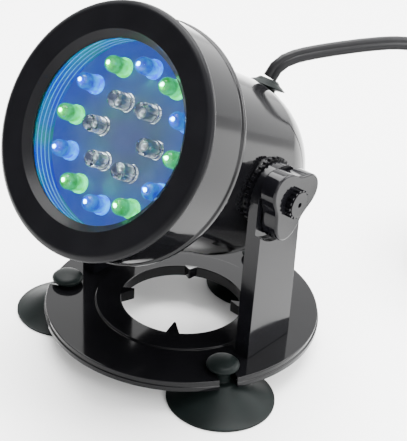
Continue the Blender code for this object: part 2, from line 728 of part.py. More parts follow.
def make_rear_housing(head):
    """The round-ended rear shell, with side bosses for the tilt axis and posts for the screws."""
    inner = REAR_RADIUS - REAR_WALL
    profile = dome_points(inner, 7, False) + [(inner, REAR_FRONT_FACE), (REAR_RADIUS, REAR_FRONT_FACE)]
    profile += dome_points(REAR_RADIUS, 9, True)
    housing = turned("rear_housing", profile, "gloss_black", segments=48, parent=head)
    for side in (1, -1):
        add_pivot_boss(housing, head, side)
    for index in range(HOUSING_SCREW_COUNT):
        place = screw_place(index)
        post = cylinder(f"post_{index + 1}", SCREW_POST_RADIUS, SCREW_POST_END, FRONT_REAR_FACE - SEAT_GAP,
                        "gloss_black", head, segments=20, turn=place)
        boolean(housing, post, "UNION")
        radius = HOUSING_SCREW_RADIUS + SLIP_GAP
        name = f"post_bore_{index + 1}"
        cut_cylinder(housing, name, radius, SCREW_POST_END + 0.0015, FRONT_REAR_FACE + 0.001, 16, place)
    radius = GROMMET_NECK_RADIUS + SLIP_GAP
    cut_cylinder(housing, "grommet_hole", radius, REAR_RADIUS / 2, REAR_RADIUS + 0.002, 24, grommet_place())
    return housing


def add_pivot_boss(housing, head, side):
    turn = about_x(side)
    name = side_name(side)
    insert_end = BOSS_FACE_X - INSERT_LENGTH
    for part, radius, start, end in (
        ("boss", BOSS_RADIUS, REAR_RADIUS - 0.0035, BOSS_FACE_X),
        ("boss_core", INNER_BOSS_RADIUS, insert_end - 0.0016, REAR_RADIUS - 0.0025),
    ):
        piece = cylinder(f"{part}_{name}", radius, start, end, "gloss_black", head, segments=40, turn=turn)
        boolean(housing, piece, "UNION")
    bore = INSERT_RADIUS + SLIP_GAP
    cut_cylinder(housing, f"insert_hole_{name}", bore, insert_end - SEAT_GAP, BOSS_FACE_X + 0.001, 24, turn)


def make_pivot_insert(head, side):
    bore = PIVOT_SCREW_RADIUS + SLIP_GAP
    profile = ring_profile(bore, INSERT_RADIUS, BOSS_FACE_X - INSERT_LENGTH, BOSS_FACE_X - SEAT_GAP)
    name = f"pivot_insert_{side_name(side)}"
    return turned(name, profile, "brass", segments=24, parent=head, matrix=about_x(side))


def make_detent_ring(head, side):
    """A toothed washer on the boss that holds the tilt when the knob is tight."""
    teeth = toothed_points(DETENT_RADIUS, DETENT_TOOTH, DETENT_TEETH)
    hole = circle_points(INSERT_RADIUS + 0.0006, 28)
    start = BOSS_FACE_X + SEAT_GAP
    end = start + DETENT_THICKNESS
    name = f"detent_ring_{side_name(side)}"
    return outline(name, [teeth, hole], start, end, "satin_black", head, about_x(side))


def make_housing_screw(head, index):
    seat = FLOOR_FRONT + SEAT_GAP
    tip = seat - HOUSING_SCREW_LENGTH
    top = seat + HOUSING_SCREW_HEAD_HEIGHT
    profile = [
        (0.0, top),
        (0.75 * HOUSING_SCREW_HEAD_RADIUS, top),
        (HOUSING_SCREW_HEAD_RADIUS, top - 0.0004),
        (HOUSING_SCREW_HEAD_RADIUS, seat),
        (HOUSING_SCREW_RADIUS, seat),
        (HOUSING_SCREW_RADIUS, tip + 0.001),
        (0.0, tip),
    ]
    name = f"housing_screw_{index + 1}"
    return turned(name, profile, "steel", segments=16, parent=head, matrix=screw_place(index))


def make_led_board(head):
    return turned("led_board", [(0.0, BOARD_FRONT), (BOARD_RADIUS, BOARD_FRONT), (BOARD_RADIUS, BOARD_BACK),
                                (0.0, BOARD_BACK)], "circuit_board", segments=56, parent=head)


def make_led(head, name, angle, ring_radius):
    """A round-nosed through-hole LED standing on the board."""
    foot = BOARD_FRONT + SEAT_GAP
    shoulder = foot + LED_HEIGHT - LED_RADIUS
    nose = [(LED_RADIUS * cos(a), shoulder + LED_RADIUS * sin(a)) for a in (radians(60), radians(30))]
    profile = [
        (0.0, foot + LED_HEIGHT),
        *nose,
        (LED_RADIUS, shoulder),
        (LED_RADIUS, foot + LED_FLANGE_HEIGHT),
        (LED_FLANGE_RADIUS, foot + LED_FLANGE_HEIGHT),
        (LED_FLANGE_RADIUS, foot),
        (0.0, foot),
    ]
    place = Matrix.Translation((ring_radius * cos(angle), ring_radius * sin(angle), 0))
    return turned(name, profile, "led_epoxy", segments=10, parent=head, matrix=place)


def make_leds(head):
    for ring, count, radius in LED_RINGS:
        for index in range(count):
            make_led(head, f"led_{ring}_{index + 1:02d}", 2 * pi * index / count, radius)


def make_driver(head):
    """The low-voltage driver board and the parts on its rear side."""
    cylinder("driver_board", DRIVER_RADIUS, DRIVER_BACK, DRIVER_FRONT, "circuit_board", head, segments=40)
    under = DRIVER_BACK - SEAT_GAP
    rectifier_centre = (0.0085, -0.009, under - RECTIFIER_SIZE[2] / 2)
    box("bridge_rectifier", RECTIFIER_SIZE, rectifier_centre, "chip_black", head)
    chip_centre = (-0.009, -0.009, under - CHIP_SIZE[2] / 2)
    box("controller_chip", CHIP_SIZE, chip_centre, "chip_black", head)
    capacitor_place = Matrix.Translation((-0.007, 0.007, 0))
    profile = [
        (0.0, under),
        (CAPACITOR_RADIUS, under),
        (CAPACITOR_RADIUS, under - CAPACITOR_HEIGHT + 0.0005),
        (CAPACITOR_RADIUS - 0.0005, under - CAPACITOR_HEIGHT),
        (0.0, under - CAPACITOR_HEIGHT),
    ]
    name = "smoothing_capacitor"
    turned(name, profile, "capacitor_sleeve", segments=24, parent=head, matrix=capacitor_place)


def smooth_points(points, spacing):
    """Points about one spacing apart on a Catmull-Rom curve through the given points."""
    points = [Vector(p) for p in points]
    ends = [2 * points[0] - points[1]] + points + [2 * points[-1] - points[-2]]
    dense = []
    for a, b, c, d in zip(ends, ends[1:], ends[2:], ends[3:]):
        for step in range(16):
            t = step / 16
            dense.append(0.5 * (2 * b + (c - a) * t + (2 * a - 5 * b + 4 * c - d) * t * t
                                + (3 * b - 3 * c + d - a) * t * t * t))
    dense.append(points[-1])
    length = sum((q - p).length for p, q in zip(dense, dense[1:]))
    count = max(2, ceil(length / spacing))
    picked = [dense[0]]
    walked = 0.0
    for p, q in zip(dense, dense[1:]):
        stretch = (q - p).length
        while len(picked) < count and walked + stretch >= len(picked) * length / count:
            share = (len(picked) * length / count - walked) / stretch
            picked.append(p.lerp(q, share))
        walked += stretch
    picked.append(dense[-1])
    return picked


def tube(name, points, radius, material_name, parent=None, resolution=2):
    curve = bpy.data.curves.new(name, "CURVE")
    curve.dimensions = "3D"
    curve.bevel_depth = radius
    curve.bevel_resolution = resolution
    curve.use_fill_caps = True
    spline = curve.splines.new("POLY")
    spline.points.add(len(points) - 1)
    for point, place in zip(spline.points, points):
        point.co = (*place, 1.0)
    return add_object(name, curve, material_name, parent)


def make_wires(head):
    """Two leads from the driver board to the cable's grommet."""
    start = DRIVER_BACK - SEAT_GAP - WIRE_RADIUS
    finish_height = GROMMET_FLANGE_HEIGHT - 0.0085
    for name, side, material_name in (("wire_positive", 1, "wire_red"), ("wire_negative", -1, "wire_black")):
        x = side * 0.0012
        route = [
            (x * 2, 0.013, start),
            (x * 1.8, 0.0134, start - 0.006),
            (x * 1.5, 0.0140, start - 0.016),
            (x * 1.2, 0.0158, GROMMET_POSITION + 0.0035),
            (x, finish_height - 0.0006, GROMMET_POSITION),
        ]
        tube(name, smooth_points(route, 0.0045), WIRE_RADIUS, material_name, head)


# ---------------------------------------------------------------- cable

def grommet_place():
    """Local Z out of the top of the rear housing, at the grommet's place along the head."""
    return Matrix.Translation((0, 0, GROMMET_POSITION)) @ Matrix.Rotation(-pi / 2, 4, "X")


def make_grommet(head):
    """A rubber grommet with a thin umbrella flange, which the cable passes through."""
    flange = GROMMET_FLANGE_HEIGHT
    bore = CABLE_DIAMETER / 2 + SLIP_GAP
    profile = [
        (bore + 0.0005, GROMMET_TOP_HEIGHT),
        (bore + 0.0010, GROMMET_TOP_HEIGHT - 0.0008),
        (GROMMET_FLANGE_RADIUS - 0.0012, flange + 0.0009),
        (GROMMET_FLANGE_RADIUS, flange + 0.0003),
        (GROMMET_FLANGE_RADIUS - 0.0002, flange),
        (GROMMET_NECK_RADIUS, flange - 0.0004),
        (GROMMET_NECK_RADIUS, flange - 0.0075),
        (bore, flange - 0.0075),
        (bore, GROMMET_TOP_HEIGHT),
    ]
    return turned("cable_grommet", profile, "rubber", segments=28, parent=head, matrix=grommet_place())


def cable_start():
    """Just clear of the grommet's top, in the stand's frame."""
    return head_matrix() @ grommet_place() @ Vector((0, 0, GROMMET_TOP_HEIGHT + CABLE_END_GAP))


def make_cable(stand):
    points = smooth_points([cable_start(), *CABLE_ROUTE], CABLE_STEP / 2)
    return tube("cable", points, CABLE_DIAMETER / 2, "cable_jacket", stand, resolution=2)


def make_coil(stand):
    """The outer shape of the stored length, as a turned ring on the ground."""
    edge = CABLE_DIAMETER / 2
    profile = [
        (COIL_OUTER - edge, COIL_HEIGHT),
        (COIL_OUTER, COIL_HEIGHT - edge),
        (COIL_OUTER, edge),
        (COIL_OUTER - edge, 0.0),
        (COIL_INNER + edge, 0.0),
        (COIL_INNER, edge),
        (COIL_INNER, COIL_HEIGHT - edge),
        (COIL_INNER + edge, COIL_HEIGHT),
    ]
    place = Matrix.Translation((*COIL_CENTRE, 0))
    return turned("cable_coil", profile, "cable_jacket", segments=36, parent=stand, matrix=place)


def connector_place():
    """The connector lies on the coil, along -Y over the turns nearest +X."""
    x = COIL_CENTRE[0] + COIL_MID_RADIUS
    z = COIL_HEIGHT + CABLE_END_GAP + CONNECTOR_NUT_RADIUS
    return Matrix.Translation((x, COIL_CENTRE[1], z)) @ Matrix.Rotation(pi / 2, 4, "X")


def make_connector(stand):
    """A low-voltage screw connector: a moulded body with two pins, and its ribbed nut."""
    start = -CONNECTOR_LENGTH / 2
    end = CONNECTOR_LENGTH / 2
    profile = [
        (0.0, end),
        (CONNECTOR_RADIUS - 0.0017, end),
        (CONNECTOR_RADIUS - 0.0014, end - 0.0003),
        (CONNECTOR_RADIUS - 0.0014, end - CONNECTOR_NUT_LENGTH),
        (CONNECTOR_RADIUS, end - CONNECTOR_NUT_LENGTH),
        (CONNECTOR_RADIUS, start + 0.006),
        (CABLE_DIAMETER / 2 + 0.0010, start),
        (0.0, start),
    ]
    place = connector_place()
    turned("connector_body", profile, "satin_black", segments=28, parent=stand, matrix=place)
    ribs = toothed_points(CONNECTOR_NUT_RADIUS, 0.0005, CONNECTOR_NUT_RIBS)
    hole = circle_points(CONNECTOR_RADIUS - 0.0014 + RUN_GAP, 28)
    nut_start = end - CONNECTOR_NUT_LENGTH + SLIP_GAP
    outline("connector_nut", [ribs, hole], nut_start, end + 0.001, "satin_black", stand, place)
    for index, side in enumerate((1, -1)):
        cylinder(f"connector_pin_{index + 1}", 0.0005, end + SEAT_GAP, end + 0.0045, "brass", stand,
                 segments=10, turn=place @ Matrix.Translation((side * 0.0015, 0, 0)))


def main():
    clear_scene()
    new_collection(COLLECTION_NAME)
    new_collection("cutters")
    stand = add_frame("stand", Matrix.Translation((0, centre_y(), 0)))
    make_base_disc(stand)
    for name, angle in CUP_ANGLES.items():
        make_suction_cup(stand, name, angle)
    for side in (1, -1):
        make_arm(stand, side)
        make_arm_screw(stand, side)
        make_knob(stand, side)
    head = add_frame("tilt_axis", head_matrix(), stand)
    make_bezel(head)
    make_lens(head)
    make_lens_gasket(head)
    make_front_housing(head)
    make_seam_gasket(head)
    make_rear_housing(head)
    for side in (1, -1):
        make_pivot_insert(head, side)
        make_detent_ring(head, side)
    for index in range(HOUSING_SCREW_COUNT):
        make_housing_screw(head, index)
    make_led_board(head)
    make_leds(head)
    make_driver(head)
    make_wires(head)
    make_grommet(head)
    make_cable(stand)
    make_coil(stand)
    make_connector(stand)


main()
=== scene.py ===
"""Underwater pond light: the finished look of each piece, laid out as a Blender add-on."""

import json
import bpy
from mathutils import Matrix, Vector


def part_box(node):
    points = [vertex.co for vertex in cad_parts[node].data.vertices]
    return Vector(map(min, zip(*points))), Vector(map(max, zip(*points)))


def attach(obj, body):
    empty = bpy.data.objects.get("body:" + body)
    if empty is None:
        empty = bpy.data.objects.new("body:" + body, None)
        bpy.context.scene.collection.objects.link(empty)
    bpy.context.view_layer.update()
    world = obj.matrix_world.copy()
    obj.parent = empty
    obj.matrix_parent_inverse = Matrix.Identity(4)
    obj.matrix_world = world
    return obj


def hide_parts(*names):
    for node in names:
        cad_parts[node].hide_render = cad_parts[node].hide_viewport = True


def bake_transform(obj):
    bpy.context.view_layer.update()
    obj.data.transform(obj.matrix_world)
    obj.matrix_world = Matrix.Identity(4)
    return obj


bl_info = {
    "name": "Pond light",
    "version": (1, 0, 0),
    "blender": (4, 5, 0),
    "location": "3D View > Sidebar > Pond Light",
    "description": "Builds the finished pieces of a tilting underwater light around its frame",
    "category": "Add Mesh",
}

from math import acos, asin, ceil, cos, pi, radians, sin

import bmesh
import bpy
from bpy.props import FloatProperty, FloatVectorProperty, IntProperty, PointerProperty
from bpy.types import Operator, Panel, PropertyGroup
from mathutils import Matrix, Vector

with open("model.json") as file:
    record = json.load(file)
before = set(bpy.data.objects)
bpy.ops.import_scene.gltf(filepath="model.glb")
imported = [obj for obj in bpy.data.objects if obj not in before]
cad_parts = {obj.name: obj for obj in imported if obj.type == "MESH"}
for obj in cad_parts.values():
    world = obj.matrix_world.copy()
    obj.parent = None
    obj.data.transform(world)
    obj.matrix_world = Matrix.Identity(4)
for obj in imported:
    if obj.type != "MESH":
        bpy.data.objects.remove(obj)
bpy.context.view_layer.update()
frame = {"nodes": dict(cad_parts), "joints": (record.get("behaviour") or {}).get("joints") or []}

JOINTS = {joint["name"]: joint for joint in frame["joints"]}
PIVOT = Vector(JOINTS["head_tilt"]["pos_m"])
SHINE = Vector(JOINTS["front_ring_turn"]["axis"])
STAND = Matrix.Translation((0, PIVOT.y, 0))
HEAD = Matrix.Translation(PIVOT) @ Matrix.Rotation(pi / 2 - asin(SHINE.z), 4, "X")
SIDES = {"right": 1, "left": -1}
CUPS = {"front_right": radians(-30), "front_left": radians(-150), "rear": radians(90)}

SEAT_GAP = 0.0001
RUN_GAP = 0.0003
LIP_THICKNESS = 0.0034          # of the front ring, over the window
SKIRT_INSET = 0.0025            # of the front ring's skirt, from the outside of the drum
SKIRT_WALL = 0.0018
SKIRT_LENGTH = 0.0095
WINDOW_THICKNESS = 0.0024
TOOTHED_RING_THICKNESS = 0.0011
LAMP_TINTS = {"green": (0.0, 1.0, 0.25), "blue": (0.0, 0.22, 1.0)}
MIX_FACTOR, MIX_FIRST, MIX_SECOND, MIX_RESULT = 0, 6, 7, 2      # a Mix node's colour sockets


# ---------------------------------------------------------------- sizes a user may change

def length(name, default, description):
    return FloatProperty(name=name, description=description, default=default, min=0.0,
                         precision=5, subtype="DISTANCE", unit="LENGTH")


def colour(name, default, description):
    return FloatVectorProperty(name=name, description=description, default=default, size=3,
                               min=0.0, max=1.0, subtype="COLOR")


class PlateSizes(PropertyGroup):
    """The base plate and its suction cups"""
    radius: length("Plate radius", 0.045, "Outside radius of the round base plate")
    thickness: length("Plate thickness", 0.0033, "Thickness of the base plate")
    top: length("Plate top", 0.0107, "Height of the plate's upper face above the ground")
    hole: length("Hole radius", 0.020, "Radius of the hole in the middle of the plate")
    step_width: length("Step width", 0.0084, "Width of the raised ring around the hole")
    step_height: length("Step height", 0.0006, "How far the ring stands above the plate")
    barb_reach: length("Barb reach", 0.004, "How far each snap barb points into the hole")
    barb_width: length("Barb width", 0.0052, "Width of a snap barb at its root")
    cup_radius: length("Cup radius", 0.0168, "Radius of a suction cup on the ground")
    cup_circle: length("Cup circle", 0.039, "Distance of each cup from the plate's centre")
    cup_neck: length("Cup neck", 0.0027, "Radius of a cup's neck in its notch")
    cup_head: length("Cup head", 0.0051, "Radius of a cup's button head")


class ArmSizes(PropertyGroup):
    """The two arms, their knobs and the toothed rings"""
    inner: length("Arm inner face", 0.0308, "Distance of an arm's inner face from the middle")
    thickness: length("Arm thickness", 0.0052, "Thickness of an arm")
    ear: length("Ear thickness", 0.0032, "Thickness left behind a knob")
    top_half: length("Top half width", 0.0094, "Half of an arm's width at the pivot")
    foot_half: length("Foot half width", 0.0103, "Half of an arm's width at the plate")
    knob_mean: length("Knob mean radius", 0.0101, "Mean radius of the three-lobed knob")
    knob_lobe: length("Knob lobe", 0.0020, "How far the lobes swell above the mean radius")
    knob_thickness: length("Knob thickness", 0.0057, "Thickness of a knob without its stub")
    stub_radius: length("Stub radius", 0.0045, "Radius of the toothed stub on a knob")
    stub_height: length("Stub height", 0.0021, "How far the toothed stub stands out")
    stub_teeth: IntProperty(name="Stub teeth", description="Number of teeth around the stub",
                            default=16, min=6, max=60)
    ring_radius: length("Ring radius", 0.0106, "Outside radius of the toothed ring behind an arm")
    ring_teeth: IntProperty(name="Ring teeth", description="Number of teeth around the ring",
                            default=30, min=8, max=90)


class HeadSizes(PropertyGroup):
    """The lamp head, measured forwards from the tilt axis"""
    bezel_radius: length("Bezel radius", 0.0371, "Outside radius of the screw-on front ring")
    bezel_face: length("Bezel face", 0.0461, "Distance of the front ring's face")
    bezel_depth: length("Bezel depth", 0.0025, "Depth of the front ring's rim")
    lip_outer: length("Lip outer radius", 0.0286, "Where the broad face meets the sloping lip")
    lip_inner: length("Lip inner radius", 0.0265, "Radius of the front ring's opening")
    drum_radius: length("Drum radius", 0.0360, "Outside radius of the front housing")
    drum_back: length("Drum back", 0.0273, "Distance of the front housing's rear face")
    rear_radius: length("Rear radius", 0.0292, "Outside radius of the rear housing")
    rear_end: length("Rear straight end", 0.0126, "How far behind the axis the round end starts")
    grommet_back: length("Grommet position", 0.025, "How far behind the axis the grommet stands")


class LedSizes(PropertyGroup):
    """The light-emitting diodes"""
    radius: length("LED radius", 0.0025, "Radius of a LED body")
    height: length("LED height", 0.008, "Height of a LED body")
    outer_ring: length("Outer ring", 0.0208, "Radius of the ring of twelve LEDs")
    inner_ring: length("Inner ring", 0.0105, "Radius of the ring of six LEDs")
    glow: FloatProperty(name="Glow", description="Brightness of the lit LEDs", default=1.0,
                        min=0.0, max=20.0)


class LeadSizes(PropertyGroup):
    """The two-core lead and its stored coil"""
    width: length("Lead width", 0.00465, "Width of the two-core lead")
    core: length("Core radius", 0.0015, "Radius of each rounded half of the lead")
    coil_mid: length("Coil radius", 0.0272, "Mean radius of the coil's turns")


class Finishes(PropertyGroup):
    """Colours of the moulded pieces"""
    gloss: colour("Glossy black", (0.0022, 0.0022, 0.0026), "Plate and housings")
    satin: colour("Satin black", (0.0022, 0.0022, 0.0028), "Front ring, arms and knobs")
    rubber: colour("Rubber", (0.0028, 0.0042, 0.0040), "Suction cups and grommet")
    jacket: colour("Lead jacket", (0.003, 0.003, 0.0035), "Sheath of the lead")
    floor: colour("Floor", (0.93, 0.93, 0.925), "The ground under the light")


# ---------------------------------------------------------------- finishes

class Finish:
    """A material under construction, with short ways to add what it needs."""

    def __init__(self, name, base, roughness, metallic=0.0, specular=0.5):
        self.material = bpy.data.materials.new(name)
        self.material.use_nodes = True
        self.tree = self.material.node_tree
        self.shader = self.tree.nodes["Principled BSDF"]
        self.set("Base Color", (*base, 1.0))
        self.set("Roughness", roughness)
        self.set("Metallic", metallic)
        self.set("Specular IOR Level", specular)
        self.material.diffuse_color = (*base, 1.0)
        self.coordinates = self.add("ShaderNodeTexCoord").outputs["Object"]

    def add(self, kind):
        return self.tree.nodes.new(kind)

    def link(self, output, target):
        self.tree.links.new(output, target)

    def set(self, socket, value):
        self.shader.inputs[socket].default_value = value

    def noise(self, scale, detail=3.0, source=None):
        node = self.add("ShaderNodeTexNoise")
        node.inputs["Scale"].default_value = scale
        node.inputs["Detail"].default_value = detail
        self.link(source or self.coordinates, node.inputs["Vector"])
        return node.outputs["Fac"]

    def spread(self, value, low, high, start=0.3, end=0.7):
        node = self.add("ShaderNodeMapRange")
        node.inputs["From Min"].default_value = start
        node.inputs["From Max"].default_value = end
        node.inputs["To Min"].default_value = low
        node.inputs["To Max"].default_value = high
        self.link(value, node.inputs["Value"])
        return node.outputs["Result"]

    def mixed(self, factor, first, second):
        """One colour fading into another."""
        node = self.add("ShaderNodeMix")
        node.data_type = "RGBA"
        node.inputs[MIX_FIRST].default_value = (*first, 1.0)
        node.inputs[MIX_SECOND].default_value = (*second, 1.0)
        self.link(factor, node.inputs[MIX_FACTOR])
        return node.outputs[MIX_RESULT]

    def from_axis(self):
        """Distance from the head's axis, in metres."""
        return self.vector_step("LENGTH", self.vector_step("CROSS_PRODUCT", self.from_pivot(), SHINE))

    def along_axis(self):
        """Distance along the head's axis from the pivot, in metres."""
        return self.vector_step("DOT_PRODUCT", self.from_pivot(), SHINE)

    def from_pivot(self):
        return self.vector_step("SUBTRACT", self.coordinates, PIVOT)

    def vector_step(self, operation, first, second=None):
        node = self.add("ShaderNodeVectorMath")
        node.operation = operation
        self.link(first, node.inputs[0])
        if second is not None:
            node.inputs[1].default_value = second
        return node.outputs["Value" if operation in ("LENGTH", "DOT_PRODUCT") else "Vector"]

    def grain(self, scale, strength, distance=0.0001):
        """Fine relief of the surface."""
        bump = self.add("ShaderNodeBump")
        bump.inputs["Strength"].default_value = strength
        bump.inputs["Distance"].default_value = distance
        self.link(self.noise(scale, 4.0), bump.inputs["Height"])
        self.link(bump.outputs["Normal"], self.shader.inputs["Normal"])
        return self

    def handled(self, low, high, scale=90.0):
        """Uneven gloss, from handling."""
        self.link(self.spread(self.noise(scale, 5.0), low, high), self.shader.inputs["Roughness"])
        return self

    def shaded(self, first, second, scale):
        """Two tones that drift into each other."""
        self.link(self.mixed(self.spread(self.noise(scale), 0.0, 1.0), first, second),
                  self.shader.inputs["Base Color"])
        return self


def lighter(base, by):
    return tuple(min(1.0, value * by) for value in base)


def make_finishes(colours):
    """Every finish of the light, by name."""
    gloss, satin = tuple(colours.gloss), tuple(colours.satin)
    rubber, jacket = tuple(colours.rubber), tuple(colours.jacket)
    made = [
        Finish("glossy black plastic", gloss, 0.07, specular=0.145)
        .shaded(gloss, lighter(gloss, 1.5), 60.0).handled(0.05, 0.10).grain(900.0, 0.012),
        Finish("satin black plastic", satin, 0.34, specular=0.08)
        .shaded(satin, lighter(satin, 1.5), 80.0).handled(0.29, 0.40).grain(5200.0, 0.16),
        Finish("brushed-off arm plastic", satin, 0.10, specular=0.13)
        .shaded(satin, lighter(satin, 1.7), 70.0).handled(0.07, 0.14).grain(1400.0, 0.02),
        Finish("dark cup rubber", rubber, 0.42, specular=0.06)
        .shaded(rubber, lighter(rubber, 1.6), 120.0).handled(0.34, 0.5).grain(2400.0, 0.12),
        Finish("seal rubber", (0.02, 0.02, 0.022), 0.6).grain(3000.0, 0.2),
        Finish("lead jacket", jacket, 0.4, specular=0.12)
        .shaded(jacket, lighter(jacket, 1.4), 150.0).handled(0.32, 0.46).grain(3800.0, 0.12),
        Finish("stainless steel", (0.56, 0.57, 0.58), 0.28, 1.0).handled(0.22, 0.36, 400.0),
        Finish("turned brass", (0.72, 0.55, 0.25), 0.30, 1.0).handled(0.24, 0.38, 400.0),
        lit_board((0.035, 0.042, 0.085), (0.060, 0.065, 0.11)),
        Finish("driver board", (0.05, 0.18, 0.09), 0.45)
        .shaded((0.04, 0.15, 0.08), (0.06, 0.2, 0.1), 260.0),
        Finish("chip package", (0.02, 0.02, 0.02), 0.5).grain(4000.0, 0.2),
        Finish("capacitor sleeve", (0.03, 0.05, 0.12), 0.35).handled(0.3, 0.42, 300.0),
        Finish("red wire", (0.45, 0.03, 0.02), 0.45).handled(0.4, 0.5, 300.0),
        Finish("black wire", (0.02, 0.02, 0.02), 0.45).handled(0.4, 0.5, 300.0),
        Finish("tinned leads", (0.50, 0.50, 0.52), 0.35, 1.0).handled(0.3, 0.45, 900.0),
    ]
    finishes = {item.material.name: item.material for item in made}
    finishes["clear window"] = clear_finish("clear window", (0.93, 0.97, 0.98), 0.02, 0.1)
    finishes["clear epoxy"] = clear_finish("clear epoxy", (0.90, 0.95, 0.97), 0.04, 0.5)
    finishes["light well"] = well_finish()
    finishes["well edge"] = edge_finish()
    return finishes


def lit_board(first, second):
    """The board's lacquer, with the LEDs' light on it painted as a glow that turns blue towards the outer
    ring.
    """
    item = Finish("board lacquer", first, 0.35).shaded(first, second, 300.0).grain(1500.0, 0.1)
    # painted light: the emission stands for the LEDs' light cast on the board, bluer towards the outer ring
    outward = item.spread(item.from_axis(), 0.0, 1.0, 0.010, 0.025)
    tint = item.mixed(outward, (0.05, 0.07, 0.17), (0.0, 0.07, 0.80))
    item.link(tint, item.shader.inputs["Emission Color"])
    item.set("Emission Strength", 0.5)
    return item


def clear_finish(name, base, roughness, specular):
    item = Finish(name, base, roughness, specular=specular)
    item.set("Transmission Weight", 1.0)
    item.set("IOR", 1.45)
    return item.material


def well_finish():
    """The pale wall, with the light that the LEDs throw on it painted as a mottled blue and green glow."""
    item = Finish("light well", (0.01, 0.04, 0.16), 0.22, specular=0.3)
    item.shaded((0.01, 0.03, 0.16), (0.01, 0.07, 0.16), 160.0).grain(700.0, 0.2)
    # painted light: noise patches of blue and green emission stand for the LEDs' light on the wall
    painted_glow_patches = item.spread(item.noise(75.0, 2.0), 0.0, 1.0, 0.42, 0.60)
    tint = item.mixed(painted_glow_patches, (0.0, 0.01, 0.90), (0.0, 0.36, 0.20))
    item.link(tint, item.shader.inputs["Emission Color"])
    item.set("Emission Strength", 0.6)
    return item.material


def edge_finish():
    # Painted highlight: the step edges glow blue as if catching the LEDs' light.
    item = Finish("well edge", (0.06, 0.22, 0.40), 0.10)
    item.handled(0.08, 0.16, 300.0)
    item.set("Emission Color", (0.02, 0.35, 1.0, 1.0))
    item.set("Emission Strength", 0.45)
    return item.material


def glow_finish(name, dark, light, strength):
    """Lit epoxy: mottled colour that glows, brightest around the chip near the board."""
    item = Finish(name, lighter(dark, 0.2), 0.10, specular=0.3)
    mottle = item.spread(item.noise(520.0, 3.0), 0.0, 1.0, 0.36, 0.64)
    tint = item.mixed(mottle, dark, light)
    item.link(tint, item.shader.inputs["Emission Color"])
    chip, nose = 0.0322, 0.0362
    fading = item.spread(item.along_axis(), 3.2 * strength, 0.7 * strength, chip, nose)
    item.link(fading, item.shader.inputs["Emission Strength"])
    item.grain(900.0, 0.25)
    return item.material


def spark_finish(name, tint, strength):
    item = Finish(name, tint, 0.3)
    item.set("Emission Color", (*tint, 1.0))
    item.set("Emission Strength", strength)
    return item.material


def material(name):
    return bpy.data.materials[name]


# ---------------------------------------------------------------- mesh helpers

def new_mesh(name, shape, place=None):
    """Turn a bmesh into a mesh with its place applied and faces outwards."""
    bmesh.ops.remove_doubles(shape, verts=shape.verts, dist=1e-7)
    bmesh.ops.recalc_face_normals(shape, faces=shape.faces)
    mesh = bpy.data.meshes.new(name)
    shape.to_mesh(mesh)
    shape.free()
    if place is not None:
        mesh.transform(place)
    return mesh


def softened(mesh, angle=34):
    mesh.shade_smooth()
    mesh.set_sharp_from_angle(angle=radians(angle))
    return mesh


def rounded(points, radius, steps=4, closed=True):
    """A profile with its corners eased by up to the given radius."""
    count = len(points)
    result = []
    for index, corner in enumerate(points):
        corner = Vector(corner)
        if not closed and index in (0, count - 1):
            result.append(tuple(corner))
            continue
        before = Vector(points[index - 1]) - corner
        after = Vector(points[(index + 1) % count]) - corner
        reach = min(radius, 0.45 * before.length, 0.45 * after.length)
        if reach < 1e-6 or before.angle(after) > radians(172):
            result.append(tuple(corner))
            continue
        start = corner + before.normalized() * reach
        end = corner + after.normalized() * reach
        for step in range(steps + 1):
            t = step / steps
            result.append(tuple(start * (1 - t) ** 2 + corner * 2 * t * (1 - t) + end * t * t))
    return result


def turned(name, profile, place=None, segments=144):
    """Turn a profile of (radius, height) points about local Z. It closes on itself or on the axis."""
    shape = bmesh.new()
    angles = [2 * pi * index / segments for index in range(segments)]
    rings = []
    for radius, height in profile:
        if radius < 1e-6:
            rings.append([shape.verts.new((0, 0, height))])
        else:
            rings.append([shape.verts.new((radius * cos(a), radius * sin(a), height)) for a in angles])
    pairs = list(zip(rings, rings[1:]))
    if len(rings[0]) > 1 and len(rings[-1]) > 1:
        pairs.append((rings[-1], rings[0]))
    for first, second in pairs:
        for index in range(segments):
            following = (index + 1) % segments
            corners = []
            for ring, step in ((first, index), (first, following), (second, following), (second, index)):
                vert = ring[step % len(ring)]
                if vert not in corners:
                    corners.append(vert)
            if len(corners) > 2:
                shape.faces.new(corners)
    return new_mesh(name, shape, place)


def prism(name, loop, start, end, place=None):
    """Extrude one closed (x, y) loop between two heights."""
    shape = bmesh.new()
    low = [shape.verts.new((x, y, start)) for x, y in loop]
    high = [shape.verts.new((x, y, end)) for x, y in loop]
    shape.faces.new(low[::-1])
    shape.faces.new(high)
    for index in range(len(loop)):
        following = (index + 1) % len(loop)
        shape.faces.new((low[index], low[following], high[following], high[index]))
    return new_mesh(name, shape, place)


def block(name, size, centre, place=None):
    x, y = size[0] / 2, size[1] / 2
    loop = [(centre[0] - x, centre[1] - y), (centre[0] + x, centre[1] - y),
            (centre[0] + x, centre[1] + y), (centre[0] - x, centre[1] + y)]
    return prism(name, loop, centre[2] - size[2] / 2, centre[2] + size[2] / 2, place)


def shown(name, mesh):
    item = bpy.data.objects.new(name, mesh)
    bpy.context.scene.collection.objects.link(item)
    return item


def evaluated(item):
    """The plain mesh of an object with its modifiers, which are then gone with the object."""
    bpy.context.view_layer.update()
    graph = bpy.context.evaluated_depsgraph_get()
    mesh = bpy.data.meshes.new_from_object(item.evaluated_get(graph))
    name = item.name
    bpy.data.objects.remove(item)
    mesh.name = name
    return mesh


def cut(mesh, tools, operation="DIFFERENCE"):
    """Cut tools out of a mesh, or join them to it."""
    item = shown(mesh.name, mesh)
    helpers = []
    for tool in tools:
        helper = shown(tool.name, tool)
        helpers.append(helper)
        modifier = item.modifiers.new(tool.name, "BOOLEAN")
        modifier.operation = operation
        modifier.solver = "EXACT"
        modifier.object = helper
    result = evaluated(item)
    for helper in helpers:
        bpy.data.objects.remove(helper)
    return result


